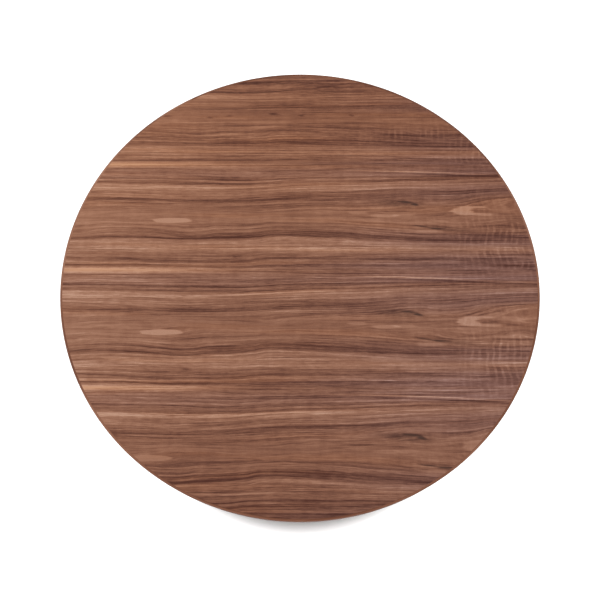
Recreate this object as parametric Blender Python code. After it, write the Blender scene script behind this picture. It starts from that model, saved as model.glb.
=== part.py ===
"""Tilt-top pedestal table: a round walnut-veneered top that tips up on a rod through its pivot block.

Frame: metres, +Z up, origin on the floor under the column. The grain and the pivot rod run along X,
and the front is -Y. A positive turn about +X lifts the rear of the top and stands it upright in front
of the column. Each named object is one real piece of the table.
"""

import math

import bmesh
import bpy
from mathutils import Matrix, Vector

# ---------------------------------------------------------------- driving dimensions
TABLE_HEIGHT = 0.740
TOP_RADIUS = 0.5335
TOP_THICKNESS = 0.025
VENEER = 0.0006
LIPPING = 0.005
LIPPING_ARRIS = 0.0015
GAP = 0.0003

BLOCK_HALF = 0.0735
BLOCK_HEIGHT = 0.050
PIVOT_DROP = 0.024
PIVOT_ROD_RADIUS = 0.005
PIVOT_BUSH_RADIUS = 0.007
BUMPER_HEIGHT = 0.0022
BUMPER_RADIUS = 0.006
BUMPER_X = 0.055

BEARER_INNER_X = 0.0765
BEARER_WIDTH = 0.032
BEARER_DEPTH = 0.044
BEARER_END_DEPTH = 0.018
BEARER_HALF_LENGTH = 0.400
BEARER_FLAT = 0.120

RAIL_FRONT_Y = 0.084
RAIL_THICKNESS = 0.030
RAIL_DEPTH = 0.040
BOLT_RADIUS = 0.005
BOLT_DROP = 0.023
BOLT_TRAVEL = 0.012
BOLT_STUB = 0.003
SLEEVE_RADIUS = 0.0065
FLANGE_RADIUS = 0.011
FLANGE_THICKNESS = 0.002
KNOB_RADIUS = 0.010
KNOB_COLLAR_RADIUS = 0.006
KNOB_CENTRE = 0.0112
KNOB_BORE_DEPTH = 0.0086

SCREW_LENGTH = 0.032
SCREW_BITE = 0.014
SCREW_RADIUS = 0.00225
SCREW_HEAD_RADIUS = 0.0045
SCREW_HEAD_HEIGHT = 0.0028
COUNTERBORE_RADIUS = 0.0055
BEARER_SCREW_Y = {"front": -0.300, "middle": 0.060, "rear": 0.300}
RAIL_SCREW_X = 0.045

CAP_RADIUS = 0.011
CAP_RIM = 0.003
CAP_DOME_RADIUS = 0.0105
CAP_BORE_DEPTH = 0.006
KEEPER_WIDTH = 0.042
KEEPER_HEIGHT = 0.022
KEEPER_THICKNESS = 0.0016
KEEPER_SCREW_X = 0.0145
KEEPER_SCREW_DEPTH = 0.012
KEEPER_SCREW_RADIUS = 0.0013
KEEPER_SCREW_HEAD_RADIUS = 0.0027
BOLT_HOLE_DEPTH = 0.016

HUB_HALF = 0.055
HUB_BOTTOM = 0.046
HUB_TOP = 0.126
COLUMN_BOTTOM_RADIUS = 0.047
COLUMN_TOP_RADIUS = 0.043
COLUMN_WAIST_RADIUS = 0.029
COLUMN_WAIST_Z = 0.400
TENON_RADIUS = 0.020
TENON_LENGTH = 0.030
TIE_ROD_RADIUS = 0.005
NUT_HEIGHT = 0.008
NUT_RADIUS = 0.0098
WASHER_RADIUS = 0.0120
WASHER_HEIGHT = 0.002
NUT_SINK = 0.002

FOOT_RADIUS = 0.415
LEG_REACH = 0.440
LEG_TOP = 0.120
LEG_HALF_WIDTH = 0.018
TOE_HALF_WIDTH = 0.013
TOE_HEIGHT = 0.040
FOOT_UNDERSIDE = 0.014
GLIDE_RADIUS = 0.014
GLIDE_PAD_HEIGHT = 0.006
GLIDE_NECK_RADIUS = 0.008
GLIDE_STEM_RADIUS = 0.004
GLIDE_STEM = 0.020
DOWEL_RADIUS = 0.006
DOWEL_Z = 0.078
DOWEL_ENDS = (0.028, 0.088)
SPIDER_THICKNESS = 0.003
SPIDER_REACH = 0.126
SPIDER_ARM_HALF = 0.011
SPIDER_SCREW_AT = 0.108
SPIDER_SCREW_RADIUS = 0.0016
SPIDER_SCREW_HEAD_RADIUS = 0.0034
SPIDER_SCREW_HEAD_HEIGHT = 0.0019
SPIDER_SCREW_BITE = 0.011

# ---------------------------------------------------------------- what follows from them
OVERSHOOT = 0.010  # how far a cutter runs past the face it opens
UNDERSIDE = TABLE_HEIGHT - TOP_THICKNESS
WOOD_TOP = UNDERSIDE - GAP
PIVOT_Z = UNDERSIDE - PIVOT_DROP
BLOCK_TOP = UNDERSIDE - BUMPER_HEIGHT - 2 * GAP
BLOCK_BOTTOM = BLOCK_TOP - BLOCK_HEIGHT
BLOCK_EDGE_RADIUS = BLOCK_TOP - PIVOT_Z
PIVOT_Y = -BLOCK_HALF + BLOCK_EDGE_RADIUS
BOLT_Z = UNDERSIDE - BOLT_DROP
SPIDER_TOP = HUB_BOTTOM - GAP
SPIDER_BOTTOM = SPIDER_TOP - SPIDER_THICKNESS
TIE_NUT_SEAT = BLOCK_TOP - NUT_SINK - NUT_HEIGHT - WASHER_HEIGHT
LEG_ANGLES = {"front_left": 225, "front_right": 315, "rear_right": 45, "rear_left": 135}
SIDES = {"left": -1, "right": 1}

# Turns that lay a shape made along Z onto another axis.
ALONG_X = Matrix.Rotation(math.radians(90), 4, "Y")
ALONG_Y = Matrix.Rotation(math.radians(-90), 4, "X")
UPRIGHT = Matrix.Identity(4)
UPSIDE_DOWN = Matrix.Rotation(math.radians(180), 4, "X")
QUARTER_TURN = Matrix.Rotation(math.radians(90), 4, "Z")


# ---------------------------------------------------------------- materials
def material(name, colour, roughness, metallic=0.0):
    made = bpy.data.materials.new(name)
    made.use_nodes = True
    shader = made.node_tree.nodes["Principled BSDF"]
    shader.inputs["Base Color"].default_value = (*colour, 1.0)
    shader.inputs["Roughness"].default_value = roughness
    shader.inputs["Metallic"].default_value = metallic
    made.diffuse_color = (*colour, 1.0)
    return made


def make_materials():
    return {
        "veneer": material("walnut_veneer", (0.255, 0.118, 0.072), 0.42),
        "walnut": material("solid_walnut", (0.190, 0.085, 0.048), 0.45),
        "board": material("fibreboard", (0.420, 0.300, 0.190), 0.85),
        "brass": material("brass", (0.720, 0.520, 0.240), 0.28, 1.0),
        "steel": material("black_steel", (0.030, 0.030, 0.032), 0.45, 0.6),
        "zinc": material("plated_steel", (0.560, 0.560, 0.570), 0.35, 1.0),
        "rubber": material("rubber", (0.025, 0.025, 0.025), 0.80),
        "nylon": material("nylon", (0.045, 0.045, 0.048), 0.55),
        "beech": material("beech", (0.560, 0.380, 0.230), 0.60),
    }


# ---------------------------------------------------------------- shape helpers
def add_object(name, mesh_maker, finish, place=UPRIGHT, parent=None):
    """An object whose mesh is filled by mesh_maker(bm), at the transform place in the world."""
    mesh = bpy.data.meshes.new(name)
    bm = bmesh.new()
    mesh_maker(bm)
    bmesh.ops.recalc_face_normals(bm, faces=bm.faces)
    bm.to_mesh(mesh)
    bm.free()
    if finish is not None:
        mesh.materials.append(finish)
    mesh.shade_smooth()
    mesh.set_sharp_from_angle(angle=math.radians(32))
    made = bpy.data.objects.new(name, mesh)
    bpy.context.scene.collection.objects.link(made)
    made.parent = parent
    if parent is not None:
        made.matrix_parent_inverse = parent.matrix_world.inverted()
    made.matrix_world = place
    return made


def ring_of(bm, radius, height, segments):
    """The points of one turn of a profile, or the one point that it has on the axis."""
    if radius == 0:
        return [bm.verts.new((0, 0, height))]
    turn = [2 * math.pi * i / segments for i in range(segments)]
    return [bm.verts.new((radius * math.cos(a), radius * math.sin(a), height)) for a in turn]


def turned(profile, segments=20):
    """A mesh maker that turns a closed outline of (radius, height) points about Z."""

    def fill(bm):
        rings = [ring_of(bm, radius, height, segments) for radius, height in profile]
        for low, high in zip(rings, rings[1:] + rings[:1]):
            for i in range(segments):
                j = (i + 1) % segments
                corners = [low[i % len(low)], low[j % len(low)], high[j % len(high)], high[i % len(high)]]
                if len(low) == 1:
                    corners.pop(1)
                if len(high) == 1:
                    corners.pop(2 if len(low) > 1 else 1)
                if len(corners) > 2:
                    bm.faces.new(corners)

    return fill


def rod(radius, length, segments=20, chamfer=0.0):
    """A plain round bar from 0 to length along Z."""
    low, high = [(radius, 0)], [(radius, length)]
    if chamfer > 0:
        low = [(radius - chamfer, 0), (radius, chamfer)]
        high = [(radius, length - chamfer), (radius - chamfer, length)]
    return turned([(0, 0), *low, *high, (0, length)], segments)


def tube(inner, outer, length, segments=20):
    return turned([(inner, 0), (outer, 0), (outer, length), (inner, length)], segments)


def nut(bore, radius, height):
    """A hexagon nut with its round bore."""

    def fill(bm):
        bores = [ring_of(bm, bore, h, 24) for h in (0, height)]
        hexes = [ring_of(bm, radius, h, 6) for h in (0, height)]
        for i in range(24):
            j = (i + 1) % 24
            bm.faces.new((bores[0][i], bores[0][j], bores[1][j], bores[1][i]))
        for i in range(6):
            j = (i + 1) % 6
            bm.faces.new((hexes[0][i], hexes[0][j], hexes[1][j], hexes[1][i]))
            for level in (0, 1):
                run = [bores[level][(4 * i + k) % 24] for k in range(5)]
                bm.faces.new([hexes[level][j], hexes[level][i], *run])

    return fill


def prism(outline, half_width):
    """A mesh maker for a closed (u, v) outline in the XZ plane; half_width(u) is its half depth in Y."""

    def fill(bm):
        near = [bm.verts.new((u, -half_width(u), v)) for u, v in outline]
        far = [bm.verts.new((u, half_width(u), v)) for u, v in outline]
        bm.faces.new(near)
        bm.faces.new(list(reversed(far)))
        for i in range(len(outline)):
            j = (i + 1) % len(outline)
            bm.faces.new((near[i], far[i], far[j], near[j]))

    return fill


def box(low, high):
    """A mesh maker for a box between two corners."""

    def fill(bm):
        middle = (Vector(low) + Vector(high)) / 2
        size = Vector(high) - Vector(low)
        place = Matrix.Translation(middle) @ Matrix.Diagonal((*size, 1.0))
        bmesh.ops.create_cube(bm, size=1.0, matrix=place)

    return fill


def at(x, y, z, turn=UPRIGHT):
    return Matrix.Translation((x, y, z)) @ turn


def out_along(angle, distance, z, turn=UPRIGHT):
    """A place that far from the table's axis in the direction angle, in degrees."""
    return Matrix.Rotation(math.radians(angle), 4, "Z") @ at(distance, 0, z, turn)


def arc(centre, radius, start, end, steps):
    """Points of an arc, from angle start to end in degrees."""
    angles = [math.radians(start + (end - start) * i / steps) for i in range(steps + 1)]
    return [(centre[0] + radius * math.cos(a), centre[1] + radius * math.sin(a)) for a in angles]


def bezier(a, b, c, d, steps):
    """Points of a cubic curve from a to d, both included."""
    points = []
    for i in range(steps + 1):
        t = i / steps
        weights = ((1 - t) ** 3, 3 * t * (1 - t) ** 2, 3 * t * t * (1 - t), t**3)
        points.append(tuple(sum(w * p[k] for w, p in zip(weights, (a, b, c, d))) for k in (0, 1)))
    return points


def bevel(target, width, segments=2):
    edge = target.modifiers.new("eased_edges", "BEVEL")
    edge.width = width
    edge.segments = segments
    edge.limit_method = "ANGLE"
    edge.angle_limit = math.radians(40)


def cut(target, mesh_maker, place):
    """Removes a helper solid from target."""
    cutter = add_object(target.name + "_cutter", mesh_maker, None, place)
    cutter.hide_render = True
    cutter.display_type = "WIRE"
    hole = target.modifiers.new("hole", "BOOLEAN")
    hole.operation = "DIFFERENCE"
    hole.solver = "EXACT"
    hole.object = cutter


def drill(target, radius, length, place, segments=16):
    cut(target, rod(radius, length, segments), place)


# ---------------------------------------------------------------- the top
def make_top(m, tilt):
    """Core board, veneers and lipping. The lipping is planted on after veneering, so its edge shows."""
    veneer_radius = TOP_RADIUS - LIPPING - GAP
    core_low = UNDERSIDE + VENEER + GAP
    core_high = TABLE_HEIGHT - VENEER - GAP
    face_place = at(0, 0, TABLE_HEIGHT - VENEER)
    add_object("face_veneer", rod(veneer_radius, VENEER, 96), m["veneer"], face_place, tilt)
    core_shape = rod(veneer_radius, core_high - core_low, 64)
    core = add_object("top_core", core_shape, m["board"], at(0, 0, core_low), tilt)
    backing_shape = rod(veneer_radius, VENEER, 64)
    backing = add_object("backing_veneer", backing_shape, m["veneer"], at(0, 0, UNDERSIDE), tilt)
    inner, eased = TOP_RADIUS - LIPPING, TOP_RADIUS - LIPPING_ARRIS
    ring = [(inner, UNDERSIDE), (eased, UNDERSIDE), (TOP_RADIUS, UNDERSIDE + LIPPING_ARRIS)]
    ring += [(TOP_RADIUS, TABLE_HEIGHT - LIPPING_ARRIS), (eased, TABLE_HEIGHT), (inner, TABLE_HEIGHT)]
    add_object("edge_lipping", turned(ring, 96), m["walnut"], UPRIGHT, tilt)
    return core, backing


def bearer_depth_at(y):
    """How deep a bearer is at distance y from the middle of its length."""
    beyond = max(0.0, abs(y) - BEARER_FLAT) / (BEARER_HALF_LENGTH - BEARER_FLAT)
    return BEARER_DEPTH - (BEARER_DEPTH - BEARER_END_DEPTH) * math.sin(beyond * math.pi / 2) ** 1.6


def make_screw(name, x, y, wood_depth, m, tilt, host, core, backing):
    """A wood screw from a counterbore in its host's underside, up into the core."""
    sink = wood_depth + SCREW_BITE - SCREW_LENGTH
    bottom = WOOD_TOP - wood_depth
    shape = [(0, 0), (SCREW_HEAD_RADIUS, 0), (SCREW_HEAD_RADIUS, 0.0006), (SCREW_RADIUS, SCREW_HEAD_HEIGHT)]
    shape += [(SCREW_RADIUS, SCREW_LENGTH - 0.004), (0, SCREW_LENGTH)]
    add_object(name, turned(shape, 12), m["zinc"], at(x, y, bottom + sink), tilt)
    clear, floor = SCREW_RADIUS + GAP, sink + SCREW_HEAD_HEIGHT
    stepped = [(0, -OVERSHOOT), (COUNTERBORE_RADIUS, -OVERSHOOT), (COUNTERBORE_RADIUS, floor)]
    stepped += [(clear, floor), (clear, wood_depth + OVERSHOOT), (0, wood_depth + OVERSHOOT)]
    cut(host, turned(stepped, 12), at(x, y, bottom))
    for layer in (backing, core):
        drill(layer, clear, SCREW_BITE + OVERSHOOT, at(x, y, UNDERSIDE + 0.002 - OVERSHOOT), 12)


def make_bearers(m, tilt, core, backing):
    """Two battens across the grain carry the pivot bushes and keep the top flat."""
    steps = 8
    span = BEARER_HALF_LENGTH - BEARER_FLAT
    rear = [BEARER_FLAT + span * i / steps for i in range(steps + 1)]
    under = [(y, WOOD_TOP - bearer_depth_at(y)) for y in rear]
    outline = [(-y, z) for y, z in reversed(under)] + under
    outline += [(BEARER_HALF_LENGTH, WOOD_TOP), (-BEARER_HALF_LENGTH, WOOD_TOP)]
    for side, sign in SIDES.items():
        x = sign * (BEARER_INNER_X + BEARER_WIDTH / 2)
        start = x - BEARER_WIDTH / 2
        shape = prism(outline, lambda y: BEARER_WIDTH / 2)
        bearer = add_object(f"bearer_{side}", shape, m["walnut"], at(x, 0, 0, QUARTER_TURN), tilt)
        bevel(bearer, 0.002)
        seat = at(start - OVERSHOOT, PIVOT_Y, PIVOT_Z, ALONG_X)
        drill(bearer, PIVOT_BUSH_RADIUS + GAP, BEARER_WIDTH + 2 * OVERSHOOT, seat, 20)
        bush = tube(PIVOT_ROD_RADIUS + GAP, PIVOT_BUSH_RADIUS, BEARER_WIDTH - 2 * GAP)
        bush_place = at(start + GAP, PIVOT_Y, PIVOT_Z, ALONG_X)
        add_object(f"pivot_bush_{side}", bush, m["brass"], bush_place, tilt)
        for where, y in BEARER_SCREW_Y.items():
            name = f"bearer_screw_{side}_{where}"
            make_screw(name, x, y, bearer_depth_at(y), m, tilt, bearer, core, backing)


def make_catch(m, tilt, slide, core, backing):
    """The rail behind the block, its sleeve, and the hand bolt that locks the top down."""
    half = BEARER_INNER_X - GAP
    rear_y = RAIL_FRONT_Y + RAIL_THICKNESS
    shape = box((-half, RAIL_FRONT_Y, WOOD_TOP - RAIL_DEPTH), (half, rear_y, WOOD_TOP))
    rail = add_object("catch_rail", shape, m["walnut"], UPRIGHT, tilt)
    bevel(rail, 0.0015, 1)
    sleeve_seat = at(0, RAIL_FRONT_Y - OVERSHOOT, BOLT_Z, ALONG_Y)
    drill(rail, SLEEVE_RADIUS + GAP, RAIL_THICKNESS + 2 * OVERSHOOT, sleeve_seat, 20)
    middle = RAIL_FRONT_Y + RAIL_THICKNESS / 2
    for side, sign in SIDES.items():
        x = sign * RAIL_SCREW_X
        make_screw(f"rail_screw_{side}", x, middle, RAIL_DEPTH, m, tilt, rail, core, backing)

    inner, face = BOLT_RADIUS + GAP, RAIL_THICKNESS + GAP
    flange_top, eased = face + FLANGE_THICKNESS, 0.0006
    sleeve = [(inner, 0), (SLEEVE_RADIUS, 0), (SLEEVE_RADIUS, face), (FLANGE_RADIUS, face)]
    sleeve += [(FLANGE_RADIUS, flange_top - eased), (FLANGE_RADIUS - eased, flange_top), (inner, flange_top)]
    add_object("bolt_sleeve", turned(sleeve), m["brass"], at(0, RAIL_FRONT_Y, BOLT_Z, ALONG_Y), tilt)

    tip = BLOCK_HALF + 0.004
    shoulder = RAIL_FRONT_Y + flange_top + BOLT_TRAVEL + GAP
    stub_end = shoulder + KNOB_BORE_DEPTH - GAP
    bar = [(0, tip), (BOLT_RADIUS - 0.0012, tip), (BOLT_RADIUS, tip + 0.0012), (BOLT_RADIUS, shoulder)]
    bar += [(BOLT_STUB, shoulder), (BOLT_STUB, stub_end), (0, stub_end)]
    add_object("bolt_rod", turned(bar), m["brass"], at(0, 0, BOLT_Z, ALONG_Y), slide)
    hole = BOLT_STUB + GAP
    knob = [(hole, 0), (KNOB_COLLAR_RADIUS, 0), (KNOB_COLLAR_RADIUS - 0.0008, 0.0030)]
    knob += arc((0, KNOB_CENTRE), KNOB_RADIUS, -50, 75, 6)
    knob += [(0, KNOB_CENTRE + KNOB_RADIUS), (0, KNOB_BORE_DEPTH), (hole, KNOB_BORE_DEPTH)]
    add_object("bolt_knob", turned(knob), m["brass"], at(0, shoulder + GAP, BOLT_Z, ALONG_Y), slide)


# ---------------------------------------------------------------- the pivot block and what is on it
def make_block(m, root):
    """The block's front top edge is round about the pivot, so that the top can roll over it."""
    corner = arc((PIVOT_Y, PIVOT_Z), BLOCK_EDGE_RADIUS, 90, 180, 8)
    outline = [(-BLOCK_HALF, BLOCK_BOTTOM), (BLOCK_HALF, BLOCK_BOTTOM), (BLOCK_HALF, BLOCK_TOP), *corner]
    block = add_object(
        "pivot_block", prism(outline, lambda y: BLOCK_HALF), m["walnut"], at(0, 0, 0, QUARTER_TURN), root
    )
    bevel(block, 0.0015, 1)
    rod_bore = at(-BLOCK_HALF - OVERSHOOT, PIVOT_Y, PIVOT_Z, ALONG_X)
    below = at(0, 0, BLOCK_BOTTOM - OVERSHOOT)
    bolt_hole = at(0, BLOCK_HALF - BOLT_HOLE_DEPTH, BOLT_Z, ALONG_Y)
    drill(block, PIVOT_ROD_RADIUS + GAP, 2 * (BLOCK_HALF + OVERSHOOT), rod_bore)
    drill(block, TENON_RADIUS + GAP, TENON_LENGTH + OVERSHOOT + GAP, below, 32)
    drill(block, TIE_ROD_RADIUS + GAP, BLOCK_HEIGHT + 2 * OVERSHOOT, below)
    drill(block, WASHER_RADIUS + 0.001, BLOCK_TOP - TIE_NUT_SEAT + OVERSHOOT, at(0, 0, TIE_NUT_SEAT), 32)
    drill(block, BOLT_RADIUS + 2 * GAP, BOLT_HOLE_DEPTH + OVERSHOOT, bolt_hole)
    return block


def make_pivot(m, root):
    """The rod that the top turns on, its domed caps, and the washers between block and bearers."""
    bearer_outer = BEARER_INNER_X + BEARER_WIDTH
    length = 2 * (bearer_outer + CAP_BORE_DEPTH - GAP)
    rod_place = at(-length / 2, PIVOT_Y, PIVOT_Z, ALONG_X)
    add_object("pivot_rod", rod(PIVOT_ROD_RADIUS, length, chamfer=0.0005), m["zinc"], rod_place, root)
    hole = PIVOT_ROD_RADIUS + GAP
    cap = [(hole, 0), (CAP_RADIUS, 0), (CAP_RADIUS, CAP_RIM)]
    cap += arc((0, CAP_RIM), CAP_DOME_RADIUS, 12, 70, 4)
    cap += [(0, CAP_RIM + CAP_DOME_RADIUS), (0, CAP_BORE_DEPTH), (hole, CAP_BORE_DEPTH)]
    for side, sign in SIDES.items():
        turn = Matrix.Rotation(math.radians(sign * 90), 4, "Y")
        cap_place = at(sign * (bearer_outer + 2 * GAP), PIVOT_Y, PIVOT_Z, turn)
        add_object(f"pivot_cap_{side}", turned(cap), m["brass"], cap_place, root)
        washer_place = at(sign * (BLOCK_HALF + GAP), PIVOT_Y, PIVOT_Z, turn)
        thickness = BEARER_INNER_X - BLOCK_HALF - 2 * GAP
        washer = tube(hole, CAP_RADIUS, thickness)
        add_object(f"pivot_washer_{side}", washer, m["nylon"], washer_place, root)


def make_bumpers(m, root):
    """Rubber buttons that the top's underside rests on, level and upright."""
    profile = [(0, 0), (BUMPER_RADIUS, 0), (BUMPER_RADIUS, 0.0014), (BUMPER_RADIUS - 0.0008, BUMPER_HEIGHT)]
    profile += [(0, BUMPER_HEIGHT)]
    forward = Matrix.Rotation(math.radians(90), 4, "X")
    for side, sign in SIDES.items():
        x = sign * BUMPER_X
        level = at(x, BUMPER_X, BLOCK_TOP + GAP)
        upright = at(x, -BLOCK_HALF - GAP, BLOCK_BOTTOM + 0.012, forward)
        add_object(f"bumper_level_{side}", turned(profile, 12), m["rubber"], level, root)
        add_object(f"bumper_upright_{side}", turned(profile, 12), m["rubber"], upright, root)


def make_keeper(m, root, block):
    """The brass plate on the block's rear face that the bolt enters, and its two screws."""
    face, half_width, half_height = BLOCK_HALF + GAP, KEEPER_WIDTH / 2, KEEPER_HEIGHT / 2
    outside = face + KEEPER_THICKNESS
    shape = box((-half_width, face, BOLT_Z - half_height), (half_width, outside, BOLT_Z + half_height))
    plate = add_object("keeper_plate", shape, m["brass"], UPRIGHT, root)
    through = 2 * OVERSHOOT
    drill(plate, BOLT_RADIUS + 2 * GAP, through, at(0, face - OVERSHOOT, BOLT_Z, ALONG_Y), 20)
    shank, head = KEEPER_SCREW_RADIUS, KEEPER_SCREW_HEAD_RADIUS
    under_head = KEEPER_SCREW_DEPTH + KEEPER_THICKNESS
    profile = [(0, 0), (shank, 0.002), (shank, under_head), (head, under_head)]
    profile += [(head - 0.0007, under_head + 0.0011), (0, under_head + 0.0013)]
    for side, sign in SIDES.items():
        x = sign * KEEPER_SCREW_X
        place = at(x, face + GAP - KEEPER_SCREW_DEPTH, BOLT_Z, ALONG_Y)
        add_object(f"keeper_screw_{side}", turned(profile, 12), m["brass"], place, root)
        drill(plate, shank + GAP, through, at(x, face - OVERSHOOT, BOLT_Z, ALONG_Y), 12)
        pilot = at(x, BLOCK_HALF - KEEPER_SCREW_DEPTH, BOLT_Z, ALONG_Y)
        drill(block, shank + GAP, KEEPER_SCREW_DEPTH + OVERSHOOT, pilot, 12)


# ---------------------------------------------------------------- the pedestal
def column_radius(z, low, high):
    """A waisted column: full at both ends, slender at the waist."""
    if z < COLUMN_WAIST_Z:
        share = (COLUMN_WAIST_Z - z) / (COLUMN_WAIST_Z - low)
        return COLUMN_WAIST_RADIUS + (COLUMN_BOTTOM_RADIUS - COLUMN_WAIST_RADIUS) * share**2.4
    share = (z - COLUMN_WAIST_Z) / (high - COLUMN_WAIST_Z)
    return COLUMN_WAIST_RADIUS + (COLUMN_TOP_RADIUS - COLUMN_WAIST_RADIUS) * share**2.4


def make_column(m, root):
    """A turned column with a tenon at each end, bored for the tie rod."""
    low, high, steps = HUB_TOP + GAP, BLOCK_BOTTOM - GAP, 12
    bore = TIE_ROD_RADIUS + 2 * GAP
    heights = [low + 0.003 + (high - low - 0.006) * i / steps for i in range(steps + 1)]
    profile = [(bore, low - TENON_LENGTH), (TENON_RADIUS, low - TENON_LENGTH), (TENON_RADIUS, low)]
    profile += [(COLUMN_BOTTOM_RADIUS - 0.003, low)]
    profile += [(column_radius(z, low, high), z) for z in heights]
    profile += [(COLUMN_TOP_RADIUS - 0.003, high), (TENON_RADIUS, high)]
    profile += [(TENON_RADIUS, high + TENON_LENGTH - 0.001), (bore, high + TENON_LENGTH - 0.001)]
    add_object("column", turned(profile, 32), m["walnut"], UPRIGHT, root)


def make_hub(m, root):
    """The block that the legs and the column join in. Its faces look along the legs."""
    shape = box((-HUB_HALF, -HUB_HALF, HUB_BOTTOM), (HUB_HALF, HUB_HALF, HUB_TOP))
    hub = add_object("hub", shape, m["walnut"], out_along(45, 0, 0), root)
    bevel(hub, 0.004)
    drill(hub, TENON_RADIUS + GAP, TENON_LENGTH + OVERSHOOT, at(0, 0, HUB_TOP - TENON_LENGTH - GAP), 32)
    drill(hub, TIE_ROD_RADIUS + 2 * GAP, HUB_TOP, at(0, 0, HUB_BOTTOM - OVERSHOOT))
    return hub


def leg_outline():
    """The leg's side view: distance from the table's axis, and height."""
    root_at, flat_to = HUB_HALF + GAP, SPIDER_REACH + 0.010
    back = (LEG_REACH - 0.010, TOE_HEIGHT)
    top = bezier((root_at, LEG_TOP), (0.190, LEG_TOP - 0.002), (0.250, 0.046), back, 11)
    toe = [(LEG_REACH - 0.003, TOE_HEIGHT - 0.006), (LEG_REACH, 0.026)]
    toe += [(LEG_REACH - 0.004, FOOT_UNDERSIDE + 0.002), (LEG_REACH - 0.007, FOOT_UNDERSIDE)]
    heel = (FOOT_RADIUS - 0.030, FOOT_UNDERSIDE)
    under = bezier(heel, (0.300, 0.0155), (0.230, HUB_BOTTOM + 0.004), (flat_to, HUB_BOTTOM), 8)
    return top + toe + under + [(root_at, HUB_BOTTOM)]


def leg_half_width(distance):
    """Legs taper towards the toe, seen from above."""
    share = (distance - HUB_HALF) / (LEG_REACH - HUB_HALF)
    return LEG_HALF_WIDTH + (TOE_HALF_WIDTH - LEG_HALF_WIDTH) * share


def make_legs(m, root, hub):
    """Four legs dowelled to the hub's faces, each bored for its foot and its spider screw."""
    inner, outer = DOWEL_ENDS
    hole = DOWEL_RADIUS + GAP
    slack = 0.001
    for name, angle in LEG_ANGLES.items():
        shape = prism(leg_outline(), leg_half_width)
        leg = add_object(f"leg_{name}", shape, m["walnut"], out_along(angle, 0, 0), root)
        bevel(leg, 0.004)
        dowel = rod(DOWEL_RADIUS, outer - inner, 12, chamfer=0.001)
        add_object(f"leg_dowel_{name}", dowel, m["beech"], out_along(angle, inner, DOWEL_Z, ALONG_X), root)
        drill(leg, hole, outer + slack - inner, out_along(angle, inner, DOWEL_Z, ALONG_X))
        drill(hub, hole, outer + slack - inner, out_along(angle, inner - slack, DOWEL_Z, ALONG_X))
        stem_hole = out_along(angle, FOOT_RADIUS, FOOT_UNDERSIDE - OVERSHOOT)
        drill(leg, GLIDE_STEM_RADIUS + GAP, GLIDE_STEM + slack + OVERSHOOT, stem_hole)
        pilot = out_along(angle, SPIDER_SCREW_AT, HUB_BOTTOM - OVERSHOOT)
        drill(leg, SPIDER_SCREW_RADIUS + GAP, SPIDER_SCREW_BITE + OVERSHOOT, pilot, 12)


def make_spider(m, root):
    """The steel cross under the hub that ties the legs together, with its screws."""
    a, r, clipped = SPIDER_ARM_HALF, SPIDER_REACH, 0.008
    one_arm = [(a, -a), (r - clipped, -a), (r, clipped - a), (r, a - clipped), (r - clipped, a)]
    outline = []
    for quarter in range(4):
        turn = Matrix.Rotation(math.radians(90 * quarter), 2)
        outline += [tuple(turn @ Vector(p)) for p in one_arm]

    def fill(bm):
        bottom = [bm.verts.new((x, y, SPIDER_BOTTOM)) for x, y in outline]
        top = [bm.verts.new((x, y, SPIDER_TOP)) for x, y in outline]
        bm.faces.new(bottom)
        bm.faces.new(list(reversed(top)))
        for i in range(len(outline)):
            j = (i + 1) % len(outline)
            bm.faces.new((bottom[i], bottom[j], top[j], top[i]))

    plate = add_object("spider_plate", fill, m["steel"], out_along(45, 0, 0), root)
    under, through = SPIDER_BOTTOM - OVERSHOOT, 2 * OVERSHOOT
    drill(plate, TIE_ROD_RADIUS + 2 * GAP, through, at(0, 0, under))
    shank, head, crown = SPIDER_SCREW_RADIUS, SPIDER_SCREW_HEAD_RADIUS, SPIDER_SCREW_HEAD_HEIGHT
    profile = [(0, -crown), (head - 0.0009, 0.0002 - crown), (head, 0), (shank, 0)]
    profile += [(shank, SPIDER_SCREW_BITE), (0, SPIDER_SCREW_BITE + 0.002)]
    for name, angle in LEG_ANGLES.items():
        place = out_along(angle, SPIDER_SCREW_AT, SPIDER_BOTTOM - GAP)
        add_object(f"spider_screw_{name}", turned(profile, 12), m["zinc"], place, root)
        drill(plate, shank + GAP, through, out_along(angle, SPIDER_SCREW_AT, under), 12)


def make_tie_rod(m, root):
    """The threaded rod that clamps block, column, hub and spider plate together."""
    low, high = SPIDER_BOTTOM - WASHER_HEIGHT - NUT_HEIGHT - NUT_SINK, BLOCK_TOP - NUT_SINK + 0.001
    add_object("tie_rod", rod(TIE_ROD_RADIUS, high - low, 20, 0.0006), m["zinc"], at(0, 0, low), root)
    bore = TIE_ROD_RADIUS + GAP
    washer = tube(bore, WASHER_RADIUS, WASHER_HEIGHT - GAP)
    hexagon = nut(bore, NUT_RADIUS, NUT_HEIGHT - GAP)
    stacks = {"top": (TIE_NUT_SEAT + GAP, UPRIGHT), "bottom": (SPIDER_BOTTOM - GAP, UPSIDE_DOWN)}
    for end, (face, turn) in stacks.items():
        add_object(f"tie_washer_{end}", washer, m["zinc"], at(0, 0, face, turn), root)
        step = WASHER_HEIGHT if end == "top" else -WASHER_HEIGHT
        add_object(f"tie_nut_{end}", hexagon, m["zinc"], at(0, 0, face + step, turn), root)


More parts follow.
